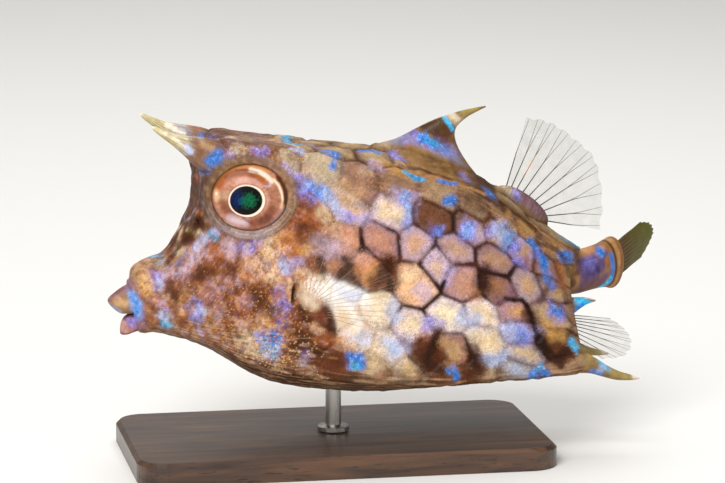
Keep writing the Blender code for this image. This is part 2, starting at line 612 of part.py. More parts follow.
def fin(name, roots, tips, rays, look, thick=(1.2, 0.55), ridge=0.16, rows=4, bow=None, cutter=None):
    """A thin fan of rays. roots and tips are curves through a few points; both faces carry ridges."""
    roots, tips = np.array(roots, float), np.array(tips, float)
    count = 2 * rays + 1

    def spread(curve):
        at = np.linspace(0, len(curve) - 1, count)
        return np.stack([np.interp(at, np.arange(len(curve)), curve[:, i]) for i in range(3)], 1)

    a, b = spread(roots), spread(tips)
    notch = np.where(np.arange(count) % 2 == 1, 0.965, 1.0)[:, None]
    b = a + (b - a) * notch
    grid = []
    for i in range(rows + 1):
        s = i / rows
        line = a + (b - a) * s
        if bow is not None:
            line = line + np.array(bow) * (s * (1 - s) * 4)
        grid.append(line)
    grid = np.array(grid)
    across = np.gradient(grid, axis=1)
    along = np.gradient(grid, axis=0)
    # One direction of thickness for the whole fan, so that close roots never cross.
    normal = np.cross(along, across).mean(axis=(0, 1))
    normal = normal / np.linalg.norm(normal)
    s = np.linspace(0, 1, rows + 1)[:, None, None]
    half = (thick[0] + (thick[1] - thick[0]) * s**0.6) / 2
    half = half + ridge * (np.arange(count) % 2 == 0)[None, :, None] * (1 - 0.5 * s)
    front, back = grid + normal * half, grid - normal * half
    # One ring per row of the fan: out along the front face and home along the back.
    rings = [np.concatenate([f, r[::-1]]) for f, r in zip(front, back)]
    n = 2 * count
    points = [p for ring in rings for p in ring]
    faces = []
    for i in range(rows):
        for j in range(n):
            k = (j + 1) % n
            faces.append((i * n + j, i * n + k, (i + 1) * n + k, (i + 1) * n + j))
    for base in (0, rows * n):
        faces += [(base + j, base + j + 1, base + n - 2 - j, base + n - 1 - j) for j in range(count - 1)]
    obj = mesh_object(name, points, faces, look)
    if cutter:
        boolean(obj, cutter)
    return obj


for name, side in (("left", -1), ("right", 1)):
    fin("pectoral_fin_" + name,
        [(-14.0, 14.6 * side, -5.3), (-12.4, 14.7 * side, -6.2), (-11.2, 14.8 * side, -7.5),
         (-10.7, 14.9 * side, -9.0), (-10.5, 15.0 * side, -10.6), (-10.2, 15.1 * side, -12.2)],
        [(-14.0, 16.4 * side, 3.2), (-10.2, 17.4 * side, 4.4), (-6.1, 18.2 * side, 2.9),
         (-2.4, 18.8 * side, 0.8), (0.9, 19.2 * side, -1.7), (3.8, 19.5 * side, -4.6),
         (5.9, 19.6 * side, -7.5), (5.6, 19.6 * side, -10.4), (4.9, 19.4 * side, -12.6),
         (1.9, 18.8 * side, -15.3)],
        10, LOOKS["ray"], thick=(1.1, 0.55), rows=4, bow=(0, 0.7 * side, 0), cutter=body_cutter)
    # The fin's fleshy root, a low pad in the arc of the rays.
    tube("pectoral_base_" + name, [
        ((-16.2, 13.6 * side, -9.3), 0.7, 0.5), ((-15.6, 13.9 * side, -9.3), 1.9, 1.2),
        ((-14.2, 14.1 * side, -9.3), 2.7, 1.6), ((-12.9, 14.2 * side, -9.4), 2.6, 1.5),
        ((-12.0, 14.2 * side, -9.6), 1.6, 1.0), ((-11.6, 14.2 * side, -9.7), 0.6, 0.4)],
        LOOKS["lobe"], 16, body_cutter)

# Fleshy bases of the two middle fins and the fins on them.
LOBE = [((26.8, 0, 9.0), 0.7, 0.5), ((28.0, 0, 8.8), 1.9, 1.4), ((30.0, 0, 7.6), 2.7, 2.0),
        ((32.6, 0, 5.8), 2.9, 2.2), ((35.0, 0, 4.0), 2.6, 2.0), ((36.9, 0, 2.6), 1.7, 1.3),
        ((37.8, 0, 1.9), 0.7, 0.6)]
tube("dorsal_fin_base", LOBE, LOOKS["lobe"], 16, body_cutter)
fin("dorsal_fin",
    [(29.6, 0, 11.0), (31.6, 0, 10.3), (33.9, 0, 8.9), (36.0, 0, 7.0), (37.6, 0, 5.0), (38.4, 0, 2.9)],
    [(33.5, 0, 24.3), (37.3, 0, 23.6), (40.4, 0, 22.1), (44.1, 0, 19.3), (47.3, 0, 16.2),
     (48.8, 0, 12.1), (49.5, 0, 5.9), (48.9, 0, 0.9)],
    9, LOOKS["ray"], thick=(0.9, 0.5), rows=4)
tube("anal_fin_base", [((40.9, 0, -15.6), 0.3, 0.3), ((41.2, 0, -16.4), 0.9, 0.9),
                       ((41.4, 0, -18.6), 1.5, 1.5), ((41.4, 0, -20.8), 1.3, 1.3),
                       ((41.2, 0, -22.4), 0.6, 0.6)], LOOKS["lobe"], 14, body_cutter)
fin("anal_fin", [(43.2, 0, -16.6), (43.45, 0, -18.0), (43.5, 0, -19.5), (43.2, 0, -21.2)],
    [(51.2, 0, -17.4), (54.2, 0, -19.6), (55.9, 0, -22.4), (54.6, 0, -25.4), (49.6, 0, -26.0)],
    8, LOOKS["ray"], thick=(0.9, 0.5), rows=4)

# Tail: a short stalk bent to the right, ending in a folded collar, and the closed tail fin.
STALK = [((38.75, 0, STALK_Z), 4.4, 4.0), ((41.0, 0.1, STALK_Z), 4.5, 4.1), ((44.2, 0.8, -7.8), 4.5, 3.8),
         ((47.2, 2.4, -7.5), 4.5, 3.4), ((50.0, 4.4, -7.3), 4.7, 3.1), ((51.8, 5.9, -7.2), 5.1, 3.1),
         ((53.1, 7.0, -7.2), 5.4, 3.0), ((54.2, 8.0, -7.2), 4.6, 2.2)]
tube("tail_stalk", STALK, LOOKS["tail"], 20)
fin("tail_fin", [(54.55, 8.3, -3.4), (54.55, 8.3, -5.8), (54.55, 8.3, -8.2), (54.55, 8.3, -10.6)],
    [(61.6, 16.0, -0.6), (64.2, 18.0, -1.2), (65.2, 18.6, -3.0), (64.2, 17.8, -5.2), (61.8, 15.6, -8.0)],
    6, LOOKS["tailfin"], thick=(1.9, 0.7), ridge=0.2, rows=5)

# Stand.
ROD_X = -6.0


def plate(name, middle, size, radius, look):
    """A flat plate with rounded corners and a small bevel on top."""
    long, wide, thick = size
    turn = np.arange(32) / 32 * 2 * math.pi + math.pi / 32
    rings = []
    for shrink, z in ((0.0, -thick / 2), (0.0, thick / 2 - 0.8), (0.8, thick / 2)):
        cx, cy = np.sign(np.cos(turn)), np.sign(np.sin(turn))
        rings.append(np.stack([middle[0] + cx * (long / 2 - radius) + np.cos(turn) * (radius - shrink),
                               middle[1] + cy * (wide / 2 - radius) + np.sin(turn) * (radius - shrink),
                               np.full(32, middle[2] + z)], 1))
    mesh_object(name, *stack(rings), look)


plate("stand_base", (ROD_X, 0, -FLOOR + BASE[2] / 2), BASE, 6.0, LOOKS["wood"])
turn = np.arange(20) / 20 * 2 * math.pi
circle = np.stack([np.cos(turn), np.sin(turn), np.zeros(20)], 1)
rod = mesh_object("stand_rod", *stack([
    (ROD_X, 0, z) + circle * r for z, r in ((-FLOOR + BASE[2] + GAP, 3.2), (-FLOOR + BASE[2] + 1.1, 3.2),
                                            (-FLOOR + BASE[2] + 1.5, ROD_RADIUS), (-27.5, ROD_RADIUS))]),
    LOOKS["steel"])
boolean(rod, body_cutter)
bpy.data.objects.remove(body_cutter, do_unlink=True)
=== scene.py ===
"""Thornback cowfish: the looks of the life-size still model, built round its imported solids.

Written in fish millimetres about the fish's own middle: +X to the tail, -Y to the left flank,
+Z up. place() turns them into the frame's metres. One skin covers head, carapace and tail stalk.
"""

import math
import random

import bpy
import numpy as np
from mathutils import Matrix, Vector
from mathutils.kdtree import KDTree


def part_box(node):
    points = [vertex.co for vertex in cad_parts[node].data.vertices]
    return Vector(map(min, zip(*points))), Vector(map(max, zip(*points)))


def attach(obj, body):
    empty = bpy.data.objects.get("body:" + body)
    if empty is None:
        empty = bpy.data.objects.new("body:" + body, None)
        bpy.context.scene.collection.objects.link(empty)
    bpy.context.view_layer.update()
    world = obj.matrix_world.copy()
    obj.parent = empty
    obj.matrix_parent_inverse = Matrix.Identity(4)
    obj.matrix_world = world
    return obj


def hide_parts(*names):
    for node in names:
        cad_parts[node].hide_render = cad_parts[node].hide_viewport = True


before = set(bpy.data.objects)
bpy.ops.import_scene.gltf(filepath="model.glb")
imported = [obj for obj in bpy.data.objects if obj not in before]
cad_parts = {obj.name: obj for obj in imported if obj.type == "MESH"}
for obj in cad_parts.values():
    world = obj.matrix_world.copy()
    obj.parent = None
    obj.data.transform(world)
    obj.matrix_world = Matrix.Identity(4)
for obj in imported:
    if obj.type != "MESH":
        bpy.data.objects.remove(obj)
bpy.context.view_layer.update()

# Driving dimensions, millimetres. The frame gives where the fish's middle lies.
LIP_TIP_X = -51.3
THORN_TIP_Z = 26.75
TAIL_ROOT_X, TAIL_TIP_X = 54.5, 65.0
SHIFT_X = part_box("upper_lip")[0].x * 1000 - LIP_TIP_X
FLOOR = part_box("dorsal_thorn")[1].z * 1000 - THORN_TIP_Z
PLATE_RISE = 0.24        # a plate's face above the body's smooth surface
SEAM_DEPTH = 0.2         # a seam below it
SEAM_SLOPE = 0.95        # how far a plate's edge takes to rise
GILL_T = 33.0            # station value where plates begin to stand out
RIM_T = 86.0             # station value of the carapace's rear rim
STALK_Z = -7.9           # height of the tail stalk's middle where it leaves the carapace
EYE_X, EYE_Z, EYE_RADIUS = -24.5, 11.4, 7.35
EYE_SQUAT = 0.875        # an eye's height over its width
ORBIT_RADIUS, ORBIT_THICK, ORBIT_HIGH = 8.3, 0.72, 0.5
FOLD_START = 7.5         # distance from an eye's middle where the fine folds round it begin
FOLD_STEP = 0.8          # their spacing
FLESH_FILLET, BONE_FILLET = 2.0, 2.4             # how near a form comes before the skin swells to it
SKIN_STEP = 0.18         # spacing of the skin's points
COLUMNS = 768            # points round the body
FIN_SKIN_HALF = 0.05     # half the thickness of a fin's skin as modelled
RAY_SIDES = 6            # sides of a fin ray's section
TUBERCLES = 3600         # golden tubercles tried over cheek and brow, many of them dropped again
FOOT_LIFT = 1.015        # how much higher the thorn's smooth skin ends than the line drawn for it
PHOTO_WIDTH = 725        # pixels
PHOTO_MM_PER_PIXEL = 0.2
CAMERA_AZIMUTH, CAMERA_HEIGHT = -10.5, 10.0      # degrees
CAMERA_DISTANCE = 700.0
SENSOR = 36.0
SIDES = (("left", -1), ("right", 1))             # a side's name and the sign of its y

# Body stations. Each row holds a station value and seven corners of the half-section as
# (x, half-width, z): crown, upper ridge, upper flank, lower flank, lower ridge, belly, keel.
STATIONS = [
    (0.0, [(-46.9, 0, -6.0), (-46.7, 3.2, -6.6), (-46.0, 4.8, -9.2), (-45.5, 4.9, -12.8),
           (-45.1, 3.6, -15.5), (-44.9, 1.9, -16.2), (-44.8, 0, -16.3)]),
    (1.8, [(-46.3, 0, -3.8), (-46.1, 3.7, -4.5), (-45.5, 5.4, -8.4), (-44.9, 5.5, -12.4),
           (-44.3, 4.1, -15.3), (-44.1, 2.1, -16.4), (-44.1, 0, -16.6)]),
    (4.5, [(-43.4, 0, -1.8), (-43.3, 4.0, -2.7), (-43.1, 6.1, -7.5), (-42.8, 6.3, -11.5),
           (-42.5, 4.8, -15.0), (-42.3, 2.5, -16.4), (-42.2, 0, -16.8)]),
    (8.0, [(-39.9, 0, -0.5), (-39.7, 4.7, -1.2), (-39.3, 7.0, -6.0), (-39.0, 7.4, -11.0),
           (-38.6, 6.2, -15.9), (-38.4, 3.2, -17.3), (-38.4, 0, -17.6)]),
    (12.0, [(-36.8, 0, 4.0), (-36.3, 5.4, 3.6), (-35.6, 8.2, -3.5), (-35.0, 9.0, -10.5),
            (-34.4, 8.0, -17.2), (-34.2, 4.2, -18.7), (-34.2, 0, -19.0)]),
    (16.0, [(-33.7, 0, 10.0), (-33.6, 7.0, 10.6), (-32.0, 9.8, 1.0), (-31.0, 10.9, -9.5),
            (-30.0, 10.2, -18.8), (-29.8, 5.4, -20.8), (-29.8, 0, -21.4)]),
    (20.0, [(-32.0, 0, 16.2), (-33.7, 7.8, 17.2), (-29.0, 10.8, 6.0), (-27.4, 12.3, -8.2),
            (-26.2, 12.4, -20.6), (-26.0, 6.6, -23.2), (-26.0, 0, -24.0)]),
    (24.0, [(-28.0, 0, 20.6), (-29.6, 8.8, 22.3), (-25.6, 11.2, 9.5), (-23.7, 13.2, -7.0),
            (-22.4, 13.9, -21.8), (-22.2, 7.8, -25.1), (-22.2, 0, -26.0)]),
    (28.0, [(-22.4, 0, 20.9), (-23.4, 9.3, 22.0), (-20.8, 11.8, 10.8), (-19.6, 13.9, -6.2),
            (-18.6, 15.1, -22.6), (-18.5, 8.8, -26.4), (-18.5, 0, -27.4)]),
    (33.0, [(-15.8, 0, 20.6), (-16.4, 9.9, 20.8), (-14.8, 12.2, 11.0), (-14.2, 14.2, -5.6),
            (-13.6, 16.1, -23.3), (-13.6, 9.6, -27.4), (-13.6, 0, -28.4)]),
    (40.0, [(-7.2, 0, 20.1), (-7.6, 10.2, 19.1), (-7.0, 12.2, 10.2), (-6.8, 14.0, -5.6),
            (-6.4, 17.0, -24.4), (-6.4, 10.4, -28.2), (-6.4, 0, -29.2)]),
    (48.0, [(1.6, 0, 19.8), (1.4, 10.4, 17.0), (1.2, 12.2, 8.6), (1.2, 13.7, -6.5),
            (1.6, 17.2, -25.4), (1.6, 10.6, -28.6), (1.6, 0, -29.4)]),
    (57.0, [(10.8, 0, 19.0), (10.4, 10.2, 15.0), (10.2, 12.0, 7.0), (10.4, 13.4, -7.8),
            (10.6, 16.8, -26.2), (10.6, 10.2, -28.4), (10.6, 0, -29.0)]),
    (66.0, [(19.6, 0, 15.0), (19.6, 9.7, 12.2), (19.6, 11.4, 4.6), (19.6, 12.7, -9.4),
            (19.8, 15.8, -26.5), (19.8, 9.4, -27.8), (19.8, 0, -28.2)]),
    (74.0, [(27.6, 0, 9.8), (27.4, 8.8, 8.2), (27.4, 10.4, 1.2), (27.6, 11.6, -11.6),
            (28.0, 14.8, -26.5), (28.0, 8.4, -27.1), (28.0, 0, -27.3)]),
    (80.0, [(33.8, 0, 4.9), (33.8, 7.6, 3.2), (34.0, 9.2, -2.6), (34.0, 10.4, -13.6),
            (34.4, 13.6, -26.5), (34.6, 7.6, -26.7), (34.6, 0, -26.8)]),
    (86.0, [(44.4, 0, -2.2), (42.7, 5.5, -2.7), (40.3, 7.4, -7.2), (41.2, 8.8, -15.0),
            (42.8, 12.2, -25.6), (41.4, 6.6, -26.2), (40.6, 0, -26.2)]),
]
# How far each corner of a section is rounded, 1 being a plain curve with no corner left.
SOFT = np.array([1.0, 0.42, 0.9, 0.9, 0.34, 0.9, 1.0])
# Distance round the half-section to each corner, as the plates are counted.
ROUND = np.array([0.0, 10.6, 19.6, 34.0, 53.5, 61.0, 71.5])
GIRTH = 2 * ROUND[-1]

# Plate middles on the left flank as they stand in the photo: x, z.
LEFT_PLATES = [
    (-10.4, 16.5), (-2.6, 13.8), (5.0, 12.8), (13.9, 10.7), (20.9, 8.2), (27.0, 5.7), (32.4, 2.6),
    (36.9, -0.9),
    (-11.5, 8.4), (-5.2, 9.0), (3.7, 7.6), (12.3, 6.0), (19.8, 3.7), (25.9, 2.6), (31.0, -1.8),
    (-11.2, 2.2), (-6.2, 2.3), (1.1, 2.0), (8.7, 1.3), (16.4, 0.0), (24.6, -2.7), (35.6, -4.9),
    (-8.8, -2.3), (-1.6, -3.1), (12.6, -2.7),
    (-10.7, -6.4), (-6.2, -7.0), (8.4, -6.6), (17.6, -6.2), (25.4, -8.2), (31.5, -8.2),
    (37.3, -9.5),
    (-12.0, -11.1), (-6.5, -11.7), (0.3, -11.2), (14.8, -13.0), (22.0, -12.6), (28.4, -13.1),
    (36.6, -14.4),
    (-12.6, -15.8), (-3.8, -16.4), (7.0, -15.3), (15.4, -19.9), (22.0, -18.7), (30.0, -17.1),
    (31.2, -21.5), (37.2, -20.0), (2.8, -18.8), (9.6, -20.5),
    (-7.6, -21.3), (-0.4, -22.4), (6.4, -23.4), (14.1, -24.2), (21.3, -24.5), (29.2, -25.0),
]

# Each plate of the left flank, in the order of LEFT_PLATES: colour of its middle, colour of its
# edge, and how dark the joint round it is.
PLATE_LOOKS = """
BBA788 B5A087 .15, 97705A 8A6450 .25, 9F7C62 8A6450 .2, C3A67E A98768 .25, 8E7656 7D6248 .35,
9E8054 8A6850 .35, A78855 80604A .3, C29052 8C6A50 .3,
C08A60 8A5030 .2, CFA176 B49C96 .1, DAC09A C6AFC0 .3, 6E452B 5A3420 .5, 9A8AB0 8A6450 .4, B5A0A8 9A7258 .3,
B38A5C A894B8 .35,
BC938A 8A5838 .25, CA9274 B87E62 .3, B27E68 A47A7A .44, C4977A B69CAA .34, B68F76 A88F9E .34,
AC8468 8E6C78 .5, 9C7A70 8C6A5C .35,
B67C50 85605E .5, CB8A58 A8683E .6, D0A984 C0A8B8 .34,
F0DEC8 D8B898 .1, E2E2DE E6D8C4 .12, E8B384 DAAA84 .4, BC8C76 AE8488 .5, 9A6A46 8A6052 .55, C89C70 A8949C .3,
B89868 8A6C58 .4,
8A5638 7A4A30 .3, EACDA8 E0C8B4 .08, EBD6B4 E2D0BC .15, E8D3B0 DCCCD0 .24, EACDA2 DCC8C8 .2, D29C62 A88088 .3,
B89A6C A08468 .3,
5E3820 4C2A16 .3, E0C29C DDBE9C .08, E4CCA6 D4C0C8 .15, A57C60 8C5E50 .5, E2C79E D2C0B0 .15,
9AA4DC B0A8D0 .15, D2B484 A8A0B0 .25, 8E7044 5A3C26 .5, B8C2DC D8C4B4 .1, 5C341C 4A2814 .5,
6E4C34 5A3A26 .4, C4AA84 9C8260 .3, CCAC7C B09C80 .25, 7E5A40 5E3E28 .4, A8987A 7A624A .35,
B8BAB4 988C7C .3"""
BACK_LOOKS = "B09468 8A6C48 .35, A88C62 7D6446 .4, 9C8456 84683F .35"
BELLY_LOOKS = "B8997A 8C6C50 .4, AE8E6C 80614A .4, C0A488 94765A .35"

PALETTE = {
    "ivory": "F0E2CC", "cream": "E4CCA4", "peach": "DDB088", "putty": "BEAC8C", "tan": "C6A070",
    "sand": "B08A5C", "gold": "CC9A4E", "orange": "C88448", "rust": "9A5428", "brown": "784424",
    "maroon": "6A301C", "umber": "4E240E", "black": "280F04", "olive": "98854A", "pink": "CB9A8E",
    "lilac": "C2AABA", "lavender": "B0A0C8", "mauve": "8A6474", "slate": "80809A",
    "powder": "B2BEE0", "violet": "8880D4", "azure": "2B78CC", "cyan": "34AEDE",
    "sky": "709CDC", "milk": "F6F2EA", "ink": "1A0902", "sepia": "3C1D0E",
}

